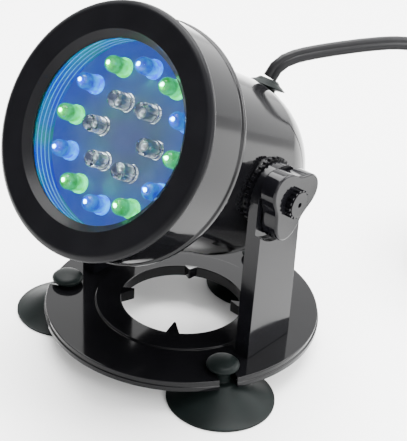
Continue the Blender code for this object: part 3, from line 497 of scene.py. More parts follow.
def eased(mesh, width, segments=3, angle=40):
    """Round a mesh's sharp edges."""
    item = shown(mesh.name, mesh)
    modifier = item.modifiers.new("edges", "BEVEL")
    modifier.width = width
    modifier.segments = segments
    modifier.limit_method = "ANGLE"
    modifier.angle_limit = radians(angle)
    return evaluated(item)


def joined(name, meshes):
    """One mesh of several."""
    shape = bmesh.new()
    for mesh in meshes:
        shape.from_mesh(mesh)
    result = bpy.data.meshes.new(name)
    shape.to_mesh(result)
    shape.free()
    return result


def weighed(mesh, angle):
    """Smooth shading that leaves the broad faces flat."""
    item = shown(mesh.name, softened(mesh, angle))
    modifier = item.modifiers.new("weigh", "WEIGHTED_NORMAL")
    modifier.keep_sharp = True
    return evaluated(item)


def finished(name, mesh, finish, body, nodes=(), angle=34):
    """Show a mesh as a piece of the light, riding on a body in place of its plain nodes."""
    mesh.name = name
    mesh.materials.clear()
    mesh.materials.append(material(finish))
    for face in mesh.polygons:
        face.material_index = 0
    item = shown(name, weighed(mesh, angle))
    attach(item, body)
    if nodes:
        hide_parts(*nodes)
    return item


def about_x(side):
    """Turn local Z to point outwards along X on one side (+1 right, -1 left), local X to +Z."""
    return Matrix(((0, 0, side, 0), (0, side, 0, 0), (-1, 0, 0, 0), (0, 0, 0, 1)))


# ---------------------------------------------------------------- geometry nodes

def new_tree(name, inputs):
    tree = bpy.data.node_groups.new(name, "GeometryNodeTree")
    face = tree.interface
    face.new_socket(name="Geometry", in_out="INPUT", socket_type="NodeSocketGeometry")
    for label, kind in inputs:
        face.new_socket(name=label, in_out="INPUT", socket_type=kind)
    face.new_socket(name="Geometry", in_out="OUTPUT", socket_type="NodeSocketGeometry")
    return tree, tree.nodes.new("NodeGroupInput"), tree.nodes.new("NodeGroupOutput")


def math_node(tree, operation, first, second):
    node = tree.nodes.new("ShaderNodeMath")
    node.operation = operation
    for socket, value in zip(node.inputs, (first, second)):
        if isinstance(value, (int, float)):
            socket.default_value = value
        else:
            tree.links.new(value, socket)
    return node.outputs[0]


def ring_tree():
    """Copies of one piece around local Z, each turned to face outwards."""
    inputs = (("Count", "NodeSocketInt"), ("Radius", "NodeSocketFloat"), ("Turn", "NodeSocketFloat"),
              ("Piece", "NodeSocketObject"), ("Finish", "NodeSocketMaterial"))
    tree, given, result = new_tree("copies_around_a_ring", inputs)
    link = tree.links.new
    circle = tree.nodes.new("GeometryNodeMeshCircle")
    link(given.outputs["Count"], circle.inputs["Vertices"])
    link(given.outputs["Radius"], circle.inputs["Radius"])
    index = tree.nodes.new("GeometryNodeInputIndex").outputs[0]
    angle = math_node(tree, "DIVIDE", math_node(tree, "MULTIPLY", index, 2 * pi), given.outputs["Count"])
    spin = tree.nodes.new("ShaderNodeCombineXYZ")
    link(angle, spin.inputs["Z"])
    copy = tree.nodes.new("GeometryNodeObjectInfo")
    link(given.outputs["Piece"], copy.inputs["Object"])
    copy.inputs["As Instance"].default_value = True
    place = tree.nodes.new("GeometryNodeInstanceOnPoints")
    link(circle.outputs["Mesh"], place.inputs["Points"])
    link(copy.outputs["Geometry"], place.inputs["Instance"])
    link(spin.outputs[0], place.inputs["Rotation"])
    turn = tree.nodes.new("ShaderNodeCombineXYZ")
    link(given.outputs["Turn"], turn.inputs["Z"])
    whole = tree.nodes.new("GeometryNodeTransform")
    link(place.outputs["Instances"], whole.inputs["Geometry"])
    link(turn.outputs[0], whole.inputs["Rotation"])
    return close_tree(tree, whole.outputs["Geometry"], given, result)


def close_tree(tree, output, given, result):
    """Realize the copies and give them their finish."""
    real = tree.nodes.new("GeometryNodeRealizeInstances")
    tree.links.new(output, real.inputs["Geometry"])
    paint = tree.nodes.new("GeometryNodeSetMaterial")
    tree.links.new(real.outputs["Geometry"], paint.inputs["Geometry"])
    tree.links.new(given.outputs["Finish"], paint.inputs["Material"])
    tree.links.new(paint.outputs["Geometry"], result.inputs["Geometry"])
    return tree


def hoop_tree():
    """Thin round hoops stacked along local Z, each a little smaller or larger than the last."""
    inputs = (("Count", "NodeSocketInt"), ("Radius", "NodeSocketFloat"), ("Wire", "NodeSocketFloat"),
              ("Rise", "NodeSocketFloat"), ("Growth", "NodeSocketFloat"), ("Finish", "NodeSocketMaterial"))
    tree, given, result = new_tree("stacked_hoops", inputs)
    link = tree.links.new
    step = tree.nodes.new("ShaderNodeCombineXYZ")
    link(given.outputs["Rise"], step.inputs["Z"])
    line = tree.nodes.new("GeometryNodeMeshLine")
    link(given.outputs["Count"], line.inputs["Count"])
    link(step.outputs[0], line.inputs["Offset"])
    hoop = tree.nodes.new("GeometryNodeCurvePrimitiveCircle")
    hoop.inputs["Resolution"].default_value = 128
    link(given.outputs["Radius"], hoop.inputs["Radius"])
    index = tree.nodes.new("GeometryNodeInputIndex").outputs[0]
    share = math_node(tree, "ADD", math_node(tree, "MULTIPLY", index, given.outputs["Growth"]), 1.0)
    place = tree.nodes.new("GeometryNodeInstanceOnPoints")
    link(line.outputs["Mesh"], place.inputs["Points"])
    link(hoop.outputs["Curve"], place.inputs["Instance"])
    link(share, place.inputs["Scale"])
    real = tree.nodes.new("GeometryNodeRealizeInstances")
    link(place.outputs["Instances"], real.inputs["Geometry"])
    wire = tree.nodes.new("GeometryNodeCurvePrimitiveCircle")
    wire.inputs["Resolution"].default_value = 10
    link(given.outputs["Wire"], wire.inputs["Radius"])
    sweep = tree.nodes.new("GeometryNodeCurveToMesh")
    link(real.outputs["Geometry"], sweep.inputs["Curve"])
    link(wire.outputs["Curve"], sweep.inputs["Profile Curve"])
    return close_tree(tree, sweep.outputs["Mesh"], given, result)


def lead_tree():
    """A lead of two rounded cores side by side, swept along the path that carries the tree."""
    inputs = (("Section", "NodeSocketObject"), ("Finish", "NodeSocketMaterial"))
    tree, given, result = new_tree("two_core_lead", inputs)
    section = tree.nodes.new("GeometryNodeObjectInfo")
    tree.links.new(given.outputs["Section"], section.inputs["Object"])
    sweep = tree.nodes.new("GeometryNodeCurveToMesh")
    sweep.inputs["Fill Caps"].default_value = True
    tree.links.new(given.outputs["Geometry"], sweep.inputs["Curve"])
    tree.links.new(section.outputs["Geometry"], sweep.inputs["Profile Curve"])
    return close_tree(tree, sweep.outputs["Mesh"], given, result)


def grown(name, tree, values, carrier=None):
    """Grow a plain mesh from a node tree on a carrier object."""
    item = shown(name, carrier or bpy.data.meshes.new(name))
    modifier = item.modifiers.new("growth", "NODES")
    modifier.node_group = tree
    sockets = {s.name: s.identifier for s in tree.interface.items_tree if s.in_out == "INPUT"}
    for label, value in values.items():
        modifier[sockets[label]] = value
    return evaluated(item)


def copies(name, tree, mesh, count, radius, finish, turn=0.0, place=None):
    """Copies of a mesh around local Z, as one mesh in its place."""
    sample = shown(name + "_sample", mesh)
    result = grown(name, tree, {"Count": count, "Radius": radius, "Turn": turn, "Piece": sample,
                                "Finish": material(finish)})
    bpy.data.objects.remove(sample)
    if place is not None:
        result.transform(place)
    return result


# ---------------------------------------------------------------- the lead's route

ROUTE = (
    (0.0004, 0.0387, 0.0815),
    (0.0014, 0.0416, 0.0837),
    (0.0032, 0.0462, 0.0850),
    (0.0060, 0.0538, 0.0854),
    (0.0094, 0.0632, 0.0853),
    (0.0132, 0.0736, 0.0849),
    (0.0170, 0.0840, 0.0839),
    (0.0207, 0.0940, 0.0815),
    (0.0229, 0.1014, 0.0775),
    (0.0236, 0.1073, 0.0712),
    (0.0235, 0.1119, 0.0638),
    (0.0229, 0.1156, 0.0559),
    (0.0222, 0.1188, 0.0479),
    (0.0215, 0.1218, 0.0397),
    (0.0211, 0.1247, 0.0315),
    (0.0212, 0.1279, 0.0234),
    (0.0222, 0.1315, 0.0155),
    (0.0248, 0.1360, 0.0086),
    (0.0295, 0.1414, 0.0038),
    (0.0358, 0.1472, 0.0024),
)
COIL_CENTRE = Vector((0.062, 0.116, 0.0))
COIL_COLUMNS = 4
COIL_ROWS = 4
COIL_START = radians(105)       # where the first turn begins
COIL_TURNS = 15.95
COIL_GAP = 0.0001               # between neighbouring turns
COIL_CROSSING = 0.20            # share of a turn in which the lead moves to its next place
RUN_IN_TURN = radians(25)       # how far round the coil the lead comes in to its first turn
GROMMET_TOP = 0.0313


def smooth_points(points, spacing):
    """Points about one spacing apart on a Catmull-Rom curve through the given points."""
    points = [Vector(p) for p in points]
    ends = [2 * points[0] - points[1]] + points + [2 * points[-1] - points[-2]]
    dense = []
    for a, b, c, d in zip(ends, ends[1:], ends[2:], ends[3:]):
        for step in range(16):
            t = step / 16
            dense.append(0.5 * (2 * b + (c - a) * t + (2 * a - 5 * b + 4 * c - d) * t * t
                                + (3 * b - 3 * c + d - a) * t * t * t))
    dense.append(points[-1])
    total = sum((q - p).length for p, q in zip(dense, dense[1:]))
    count = max(2, ceil(total / spacing))
    picked = [dense[0]]
    walked = 0.0
    for p, q in zip(dense, dense[1:]):
        stretch = (q - p).length
        while len(picked) < count and walked + stretch >= len(picked) * total / count:
            picked.append(p.lerp(q, (len(picked) * total / count - walked) / stretch))
        walked += stretch
    picked.append(dense[-1])
    return picked


def eased_share(t):
    t = min(1.0, max(0.0, t))
    return t * t * (3 - 2 * t)


def coil_points(lead):
    """Clockwise turns, laid column by column and row by row, each a lead's width apart."""
    pitch = lead.width + COIL_GAP
    first = lead.coil_mid - (COIL_COLUMNS - 1) / 2 * pitch
    slots = []
    for row in range(COIL_ROWS):
        columns = range(COIL_COLUMNS)
        for column in (reversed(columns) if row % 2 == 0 else columns):
            slots.append((first + column * pitch, lead.width / 2 + COIL_GAP + row * pitch))
    points = []
    steps = 30
    for step in range(int(COIL_TURNS * steps) + 1):
        turn = step / steps
        slot = min(int(turn), len(slots) - 1)
        radius, height = slots[slot]
        if slot + 1 < len(slots):
            share = eased_share((turn - slot - (1 - COIL_CROSSING)) / COIL_CROSSING)
            radius += (slots[slot + 1][0] - radius) * share
            height += (slots[slot + 1][1] - height) * share
        angle = COIL_START - 2 * pi * turn
        points.append(COIL_CENTRE + Vector((radius * cos(angle), radius * sin(angle), height)))
    return points


# ---------------------------------------------------------------- operators: stage and lead

def look_along(azimuth, elevation, roll):
    """A camera's turn from its place around the light and its lean."""
    back = Vector((sin(azimuth) * cos(elevation), -cos(azimuth) * cos(elevation), sin(elevation)))
    flat = Vector((cos(azimuth), sin(azimuth), 0))
    rise = back.cross(flat)
    right = flat * cos(roll) + rise * sin(roll)
    up = rise * cos(roll) - flat * sin(roll)
    return back, Matrix((right, up, back)).transposed().to_4x4()


def softbox(name, place, target, size, power):
    data = bpy.data.lights.new(name, "AREA")
    data.shape = "RECTANGLE"
    data.size, data.size_y = size
    data.energy = power
    lamp = bpy.data.objects.new(name, data)
    bpy.context.scene.collection.objects.link(lamp)
    lamp.location = place
    lamp.rotation_euler = (Vector(target) - Vector(place)).to_track_quat("-Z", "Y").to_euler()
    return lamp


class POND_OT_stage(Operator):
    """Lay the floor and place the lights and the camera"""
    bl_idname = "pond.stage"
    bl_label = "Stage"

    def execute(self, context):
        floor = Finish("pale floor", tuple(context.scene.pond_finishes.floor), 0.6, specular=0.3)
        floor.grain(60.0, 0.05, 0.001)
        plane = bpy.data.meshes.new("floor")
        shape = bmesh.new()
        bmesh.ops.create_grid(shape, x_segments=2, y_segments=2, size=6.0)
        shape.to_mesh(plane)
        shape.free()
        ground = shown("floor", plane)
        ground.location.z = -0.0002
        ground.data.materials.append(floor.material)
        self.make_world(context)
        softbox("overhead softbox", (-0.15, 0.25, 0.9), (0, 0, 0.03), (0.9, 0.9), 48.0)
        softbox("back softbox", (0.55, 0.8, 0.5), (0, 0, 0.06), (0.7, 0.5), 14.0)
        softbox("right softbox", (0.9, -0.1, 0.45), (0, 0, 0.06), (0.35, 0.5), 5.0)
        self.make_camera(context)
        return {"FINISHED"}

    def make_world(self, context):
        """Bright all round, darker towards the front left, as in a studio open on one side."""
        world = bpy.data.worlds.new("studio")
        context.scene.world = world
        world.use_nodes = True
        nodes, link = world.node_tree.nodes, world.node_tree.links.new
        direction = nodes.new("ShaderNodeTexCoord").outputs["Generated"]
        dot = nodes.new("ShaderNodeVectorMath")
        dot.operation = "DOT_PRODUCT"
        dot.inputs[1].default_value = Vector((-0.55, -0.80, 0.15)).normalized()
        link(direction, dot.inputs[0])
        ramp = nodes.new("ShaderNodeMapRange")
        ramp.interpolation_type = "SMOOTHSTEP"
        ramp.inputs["From Min"].default_value = 0.1
        ramp.inputs["From Max"].default_value = 0.85
        ramp.inputs["To Min"].default_value = 3.6
        ramp.inputs["To Max"].default_value = 0.4
        link(dot.outputs["Value"], ramp.inputs["Value"])
        background = nodes["Background"]
        background.inputs["Color"].default_value = (1.0, 1.0, 1.0, 1.0)
        link(ramp.outputs["Result"], background.inputs["Strength"])

    def make_camera(self, context):
        """A long lens from the front right, above the light and leaning a little."""
        azimuth, elevation, roll, distance = radians(38.9), radians(29.8), radians(3.9), 0.391
        data = bpy.data.cameras.new("camera")
        data.lens = 100.8
        data.sensor_width = 36.0
        data.clip_start = 0.01
        camera = bpy.data.objects.new("camera", data)
        context.scene.collection.objects.link(camera)
        back, turn = look_along(azimuth, elevation, roll)
        target = Vector((0.00406, 0.00328 + PIVOT.y, 0.04114))
        camera.matrix_world = Matrix.Translation(target + back * distance) @ turn
        context.scene.camera = camera


class POND_OT_lead(Operator):
    """Lay the two-core lead from the grommet to its coil, with the connector on its end"""
    bl_idname = "pond.lead"
    bl_label = "Lead and connector"

    def execute(self, context):
        lead = context.scene.pond_lead
        head = context.scene.pond_head
        points, straight = self.path(lead, head)
        mesh = self.sweep(lead, points, straight)
        item = shown("lead", softened(mesh, 50))
        connector = self.connector()
        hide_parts("cable", "cable_coil")
        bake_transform(item)
        return {"FINISHED"}

    def measure(self, points):
        return sum((b - a).length for a, b in zip(points, points[1:]))

    def path(self, lead, head):
        """The whole route: down from the grommet, over the ground, round the coil, into the connector."""
        grommet = HEAD @ Matrix.Translation((0, 0, -head.grommet_back)) @ Matrix.Rotation(-pi / 2, 4, "X")
        start = STAND.inverted() @ grommet @ Vector((0, 0, GROMMET_TOP + RUN_GAP))
        coil = coil_points(lead)
        approach = [Vector(p) for p in ROUTE]
        run_in = self.run_in(lead, coil[0])
        straight = smooth_points([start, *approach, *run_in], 0.0038)
        end = self.run_out(coil)
        points = straight[:-1] + coil + end
        return [STAND @ p for p in points], len(straight)

    def run_in(self, lead, first):
        """Along the outside of the coil and in to its first turn."""
        wide = lead.coil_mid + (COIL_COLUMNS / 2 + 0.5) * lead.width + 0.0014
        narrow = (first - COIL_CENTRE).xy.length
        points = []
        for step in range(1, 5):
            share = step / 4
            angle = COIL_START + RUN_IN_TURN * (1 - share)
            radius = wide + (narrow - wide) * eased_share(share)
            points.append(COIL_CENTRE + Vector((radius * cos(angle), radius * sin(angle), first.z)))
        return points

    def run_out(self, coil):
        """Up from the last turn into the back of the connector, which lies on the coil."""
        entry = self.connector_entry()
        last, before = coil[-1], coil[-2]
        heading = (last - before).normalized()
        reach = (entry - last).length
        points = []
        a, b = last + heading * reach * 0.45, entry + Vector((0, 1, 0)) * reach * 0.45
        for step in range(1, 9):
            t = step / 8
            u = 1 - t
            points.append(last * u ** 3 + a * 3 * t * u ** 2 + b * 3 * t * t * u + entry * t ** 3)
        return points

    def connector_entry(self):
        low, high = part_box("connector_body")
        centre = STAND.inverted() @ ((low + high) / 2)
        return Vector((centre.x, (STAND.inverted() @ high).y + 0.0001, centre.z))

    def sweep(self, lead, points, straight):
        """Sweep the section along the route, turning it on edge towards the coil."""
        section = bpy.data.curves.new("lead_section", "CURVE")
        section.dimensions = "3D"
        outline = self.section_points(lead)
        spline = section.splines.new("POLY")
        spline.points.add(len(outline) - 1)
        for point, (x, y) in zip(spline.points, outline):
            point.co = (x, y, 0, 1)
        spline.use_cyclic_u = True
        sample = shown("lead_section", section)
        path = bpy.data.curves.new("lead", "CURVE")
        path.dimensions = "3D"
        path.twist_mode = "Z_UP"
        spline = path.splines.new("POLY")
        spline.points.add(len(points) - 1)
        flat, upright = radians(56), radians(90)
        for index, (point, place) in enumerate(zip(spline.points, points)):
            point.co = (*place, 1)
            point.tilt = flat + (upright - flat) * eased_share(index / straight)
        result = grown("lead", lead_tree(), {"Section": sample, "Finish": material("lead jacket")}, path)
        bpy.data.objects.remove(sample)
        return result

    def section_points(self, lead):
        """Two rounded halves that meet in a shallow groove on each side."""
        offset = lead.width / 2 - lead.core
        opening = acos(min(1.0, offset / lead.core)) * 0.86
        points = []
        for side in (1, -1):
            for step in range(11):
                angle = -(pi - opening) + step * 2 * (pi - opening) / 10
                points.append((side * (offset + lead.core * cos(angle)), side * lead.core * sin(angle)))
        return points

    def connector(self):
        """The moulded connector with its ribbed ring, over the plain ones."""
        low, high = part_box("connector_body")
        centre = (low + high) / 2
        place = Matrix.Translation(centre) @ Matrix.Rotation(pi / 2, 4, "X")
        half = (high.y - low.y) / 2
        start, end = -half, half
        wide, neck, ring = 0.0058, 0.0044, 0.009
        profile = [(0, end), (neck - 0.0003, end), (neck, end - 0.0003), (neck, end - ring),
                   (wide, end - ring), (wide, start + 0.006), (0.0042, start + 0.0022), (0.0033, start)]
        body = turned("connector", rounded(profile + [(0, start)], 0.0005, 3, False), place, 64)
        body_item = finished("connector", body, "satin black plastic", "base",
                             ["connector_body"])
        bore, outside = 0.0047, 0.0063
        back, front = end - ring + 0.0002, end + 0.001
        shell = [(bore, back), (outside, back), (outside, front), (bore, front)]
        core = turned("ring", rounded(shell, 0.0003, 3), place, 64)
        rib = prism("rib", [(-0.0003, -0.0006), (0.0005, -0.0003), (0.0005, 0.0003), (-0.0003, 0.0006)],
                    end - ring + 0.0008, end + 0.0004)
        ribs = copies("ribs", ring_tree(), rib, 14, outside, "satin black plastic", place=place)
        ring_item = finished("connector_ring", joined("connector_ring", [core, ribs]),
                             "satin black plastic", "connector_ring", ["connector_nut"])
        return [body_item, ring_item, "connector_pin_1", "connector_pin_2"]


# ---------------------------------------------------------------- operators: stand

class POND_OT_plate(Operator):
    """Make the round base plate with its raised ring, snap barbs, slots and notches"""
    bl_idname = "pond.plate"
    bl_label = "Base plate"

    def execute(self, context):
        plate = context.scene.pond_plate
        arm = context.scene.pond_arms
        bottom = plate.top - plate.thickness
        high = plate.top + plate.step_height
        step = plate.hole + plate.step_width
        profile = [(plate.hole, high), (step, high), (step, plate.top), (plate.radius - 0.0004, plate.top),
                   (plate.radius - 0.0004, plate.top - 0.0016), (plate.radius, plate.top - 0.0017),
                   (plate.radius, bottom), (plate.hole, bottom)]
        mesh = turned("plate", rounded(profile, 0.00035, 4), segments=192)
        tools = [self.notch(plate, name, angle) for name, angle in CUPS.items()]
        for side in SIDES.values():
            x = side * (arm.inner + arm.thickness / 2)
            tools.append(block("slot", (0.003, 0.0104, 0.02), (x, 0, plate.top)))
        mesh = cut(mesh, tools)
        barbs = [self.barb(plate, radians(33 + 90 * index)) for index in range(4)]
        mesh = joined("plate", [mesh, *barbs])
        mesh.transform(STAND)
        finished("plate", mesh, "glossy black plastic", "base", ["base_disc"], 30)
        return {"FINISHED"}

    def notch(self, plate, name, angle):
        radius = plate.cup_neck + 0.0002
        reach = plate.radius - plate.cup_circle + 0.004
        loop = [(radius * cos(a), radius * sin(a)) for a in (pi / 2 + i * pi / 24 for i in range(25))]
        loop += [(reach, -radius), (reach, radius)]
        turn = Matrix.Rotation(angle, 4, "Z") @ Matrix.Translation((plate.cup_circle, 0, 0))
        return prism(f"notch_{name}", loop, 0.0, 0.03, turn)

    def barb(self, plate, angle):
        """A pointed clip whose back rises from the hole's edge to its tip."""
        root = plate.hole + 0.0010
        tip = plate.hole - plate.barb_reach
        half = plate.barb_width / 2
        bottom = plate.top - plate.thickness + 0.0004
        shape = bmesh.new()
        ends = []
        root_top, tip_bottom, tip_top = plate.top + 0.0004, bottom + 0.0010, plate.top + 0.0020
        for x, y, low, top in ((root, half, bottom, root_top), (root, -half, bottom, root_top),
                               (tip, -0.0003, tip_bottom, tip_top), (tip, 0.0003, tip_bottom, tip_top)):
            ends.append((shape.verts.new((x, y, low)), shape.verts.new((x, y, top))))
        shape.faces.new([low for low, _ in ends])
        shape.faces.new([top for _, top in ends])
        for index in range(4):
            (a, b), (c, d) = ends[index], ends[(index + 1) % 4]
            shape.faces.new((a, c, d, b))
        return eased(new_mesh("barb", shape, Matrix.Rotation(angle, 4, "Z")), 0.0002, 2, 20)


class POND_OT_cups(Operator):
    """Make the three suction cups with their button heads"""
    bl_idname = "pond.cups"
    bl_label = "Suction cups"

    def execute(self, context):
        plate = context.scene.pond_plate
        for name, angle in CUPS.items():
            centre = Vector((cos(angle), sin(angle), 0)) * plate.cup_circle
            place = STAND @ Matrix.Translation(centre)
            mesh = turned("cup", self.profile(plate), place, 96)
            finished(f"cup_{name}", mesh, "dark cup rubber", "base", [f"suction_cup_{name}"], 44)
        return {"FINISHED"}

    def profile(self, plate):
        shelf = plate.top + SEAT_GAP
        head = shelf + 0.0034
        root = plate.top - plate.thickness - SEAT_GAP
        radius, neck, button = plate.cup_radius, plate.cup_neck, plate.cup_head
        crown = [(button * 0.86 * i / 6, head - 0.0006 * (i / 6) ** 2) for i in range(7)]
        side = [(button, head - 0.0013), (button, head - 0.0021), (neck + 0.0009, shelf), (neck, shelf),
                (neck, root), (neck + 0.0018, root), (neck + 0.0024, root - 0.0003)]
        bell = []
        for i in range(1, 13):
            t = i / 12
            x = neck + 0.0024 + (radius - 0.0003 - neck - 0.0024) * t
            bell.append((x, 0.00055 + (root - 0.0009) * (1 - t) ** 1.15))
        rim = [(radius, 0.0005), (radius, 0.0), (radius - 0.0009, 0.0)]
        under = []
        for i in range(10):
            share = 1 - i / 9
            under.append(((radius - 0.0012) * share, 0.0034 * (1 - share ** 2) + 0.0002))
        return crown + rounded([crown[-1]] + side, 0.0005, 3, False)[1:] + bell + rim + under


class POND_OT_arms(Operator):
    """Make the two upright arms with the round recess behind each knob"""
    bl_idname = "pond.arms"
    bl_label = "Arms"

    def execute(self, context):
        arm = context.scene.pond_arms
        plate = context.scene.pond_plate
        for name, side in SIDES.items():
            finished(f"upright_{name}", self.mesh(arm, plate, side), "brushed-off arm plastic", "base",
                     [f"arm_{name}"], 30)
        return {"FINISHED"}

    def mesh(self, arm, plate, side):
        turn = about_x(side)
        foot = plate.top + SEAT_GAP
        start = asin((arm.foot_half - arm.top_half) / (PIVOT.z - foot))
        angles = [-start + i * (pi + 2 * start) / 48 for i in range(49)]
        loop = [(-(PIVOT.z + arm.top_half * sin(a)), arm.top_half * cos(a)) for a in angles]
        loop = [(-foot, arm.foot_half)] + loop + [(-foot, -arm.foot_half)]
        outer = arm.inner + arm.thickness
        mesh = prism("arm", loop, arm.inner, outer, turn)
        middle = side * (arm.inner + arm.thickness / 2)
        tab = block("tab", (0.0026, 0.010, plate.thickness + 0.003),
                    (middle, 0, plate.top - plate.thickness / 2 + 0.0017))
        mesh = cut(mesh, [tab], "UNION")
        pivot = Matrix.Translation((0, 0, PIVOT.z)) @ turn
        reach, floor = arm.knob_mean + arm.knob_lobe + 0.0016, arm.inner + arm.ear
        recess = turned("recess", [(0, outer + 0.002), (reach, outer + 0.002), (reach, floor), (0, floor)],
                        pivot, 96)
        screw, back = 0.0024, arm.inner - 0.001
        hole = turned("hole", [(0, outer), (screw, outer), (screw, back), (0, back)], pivot, 32)
        mesh = cut(mesh, [recess, hole])
        mesh = eased(mesh, 0.0006, 3, 35)
        mesh.transform(STAND)
        return mesh


class POND_OT_knobs(Operator):
    """Make the three-lobed clamp knobs, their toothed stubs and the toothed rings behind the arms"""
    bl_idname = "pond.knobs"
    bl_label = "Knobs and toothed rings"

    def execute(self, context):
        arm = context.scene.pond_arms
        for name, side in SIDES.items():
            place = Matrix.Translation(PIVOT) @ about_x(side)
            finished(f"clamp_knob_{name}", self.knob(arm, place), "brushed-off arm plastic", f"{name}_knob",
                     [f"knob_{name}"], 30)
            finished(f"toothed_ring_{name}", self.ring(arm, place), "satin black plastic", "head",
                     [f"detent_ring_{name}"], 30)
        return {"FINISHED"}

    def knob(self, arm, place):
        loop = []
        for index in range(216):
            angle = 2 * pi * index / 216
            radius = arm.knob_mean + arm.knob_lobe * cos(3 * (angle - radians(102)))
            loop.append((radius * cos(angle), radius * sin(angle)))
        inner = arm.inner + arm.ear + RUN_GAP
        outer = inner + arm.knob_thickness
        mesh = eased(prism("knob", loop, inner, outer), 0.0008, 4, 50)
        hexagon = [(0.0037 * cos(i * pi / 3), 0.0037 * sin(i * pi / 3)) for i in range(6)]
        pocket = prism("pocket", hexagon, inner - 0.001, inner + 0.0028)
        mesh = cut(mesh, [pocket])
        end = outer + arm.stub_height
        core = arm.stub_radius - 0.0006
        hole, floor = 0.0007, end - 0.0012
        stub = [(core, outer - 0.0004), (core, end), (hole, end), (hole, floor), (0, floor)]
        stub = turned("stub", rounded([(0, outer - 0.0004)] + stub, 0.0002, 2, False), segments=64)
        wedge = [(-0.0003, -0.00065), (0.0006, -0.0003), (0.0006, 0.0003), (-0.0003, 0.00065)]
        tooth = prism("tooth", wedge, outer - 0.0003, end - 0.0003)
        teeth = copies("teeth", ring_tree(), tooth, arm.stub_teeth, core, "satin black plastic")
        mesh = joined("knob", [mesh, stub, teeth])
        mesh.transform(place)
        return mesh

    def ring(self, arm, place):
        end = arm.inner - RUN_GAP
        start = end - TOOTHED_RING_THICKNESS
        bore, core = 0.0038, arm.ring_radius - 0.0007
        section = [(bore, end), (core, end), (core, start), (bore, start)]
        body = turned("ring", rounded(section, 0.0001, 2), segments=96)
        tooth = prism("tooth", [(-0.0003, -0.0008), (0.0007, -0.0004), (0.0007, 0.0004), (-0.0003, 0.0008)],
                      start, end)
        teeth = copies("teeth", ring_tree(), tooth, arm.ring_teeth, core, "satin black plastic")
        mesh = joined("ring", [body, teeth])
        mesh.transform(place)
        return mesh


# ---------------------------------------------------------------- operators: head

class POND_OT_bezel(Operator):
    """Make the broad screw-on front ring"""
    bl_idname = "pond.bezel"
    bl_label = "Front ring"

    def execute(self, context):
        head = context.scene.pond_head
        face, radius = head.bezel_face, head.bezel_radius
        back = face - head.bezel_depth
        lip_back = face - LIP_THICKNESS
        skirt_outer = head.drum_radius - SKIRT_INSET - RUN_GAP
        skirt_inner = skirt_outer - SKIRT_WALL
        end = back - SKIRT_LENGTH
        profile = [(head.lip_outer, face - 0.0005), (radius - 0.0016, face),
                   (radius - 0.0003, face - 0.0008), (radius, face - 0.0016),
                   (radius - 0.0003, back), (skirt_outer, back), (skirt_outer, end),
                   (skirt_inner, end), (skirt_inner, lip_back), (head.lip_inner, lip_back),
                   (head.lip_inner, lip_back + 0.0006), (head.lip_outer - 0.0003, face - 0.0009)]
        mesh = turned("bezel", rounded(profile, 0.0006, 4), HEAD, 192)
        finished("front_ring", mesh, "satin black plastic", "front_ring", ["bezel"], 60)
        return {"FINISHED"}


class POND_OT_lens(Operator):
    """Make the clear window with the fine steps inside its edge"""
    bl_idname = "pond.lens"
    bl_label = "Window"

    def execute(self, context):
        head = context.scene.pond_head
        front = head.bezel_face - LIP_THICKNESS - SEAT_GAP
        back = front - WINDOW_THICKNESS
        radius = head.drum_radius - SKIRT_INSET - RUN_GAP - SKIRT_WALL - RUN_GAP
        profile = [(0, front), (radius, front), (radius, back), (0, back)]
        mesh = turned("window", rounded(profile, 0.0003, 3, False), HEAD, 128)
        finished("window", mesh, "clear window", "head", ["lens"], 30)
        # The steps are thin hoops whose glow is a painted highlight of the LEDs' light on the step edges.
        steps = {"Count": 4, "Radius": 0.0280, "Wire": 0.00014, "Rise": -0.00175, "Growth": 0.0,
                 "Finish": material("well edge")}
        hoops = grown("steps", hoop_tree(), steps)
        hoops.transform(HEAD @ Matrix.Translation((0, 0, back - 0.0018)))
        finished("well_steps", hoops, "well edge", "head", (), 60)
        return {"FINISHED"}


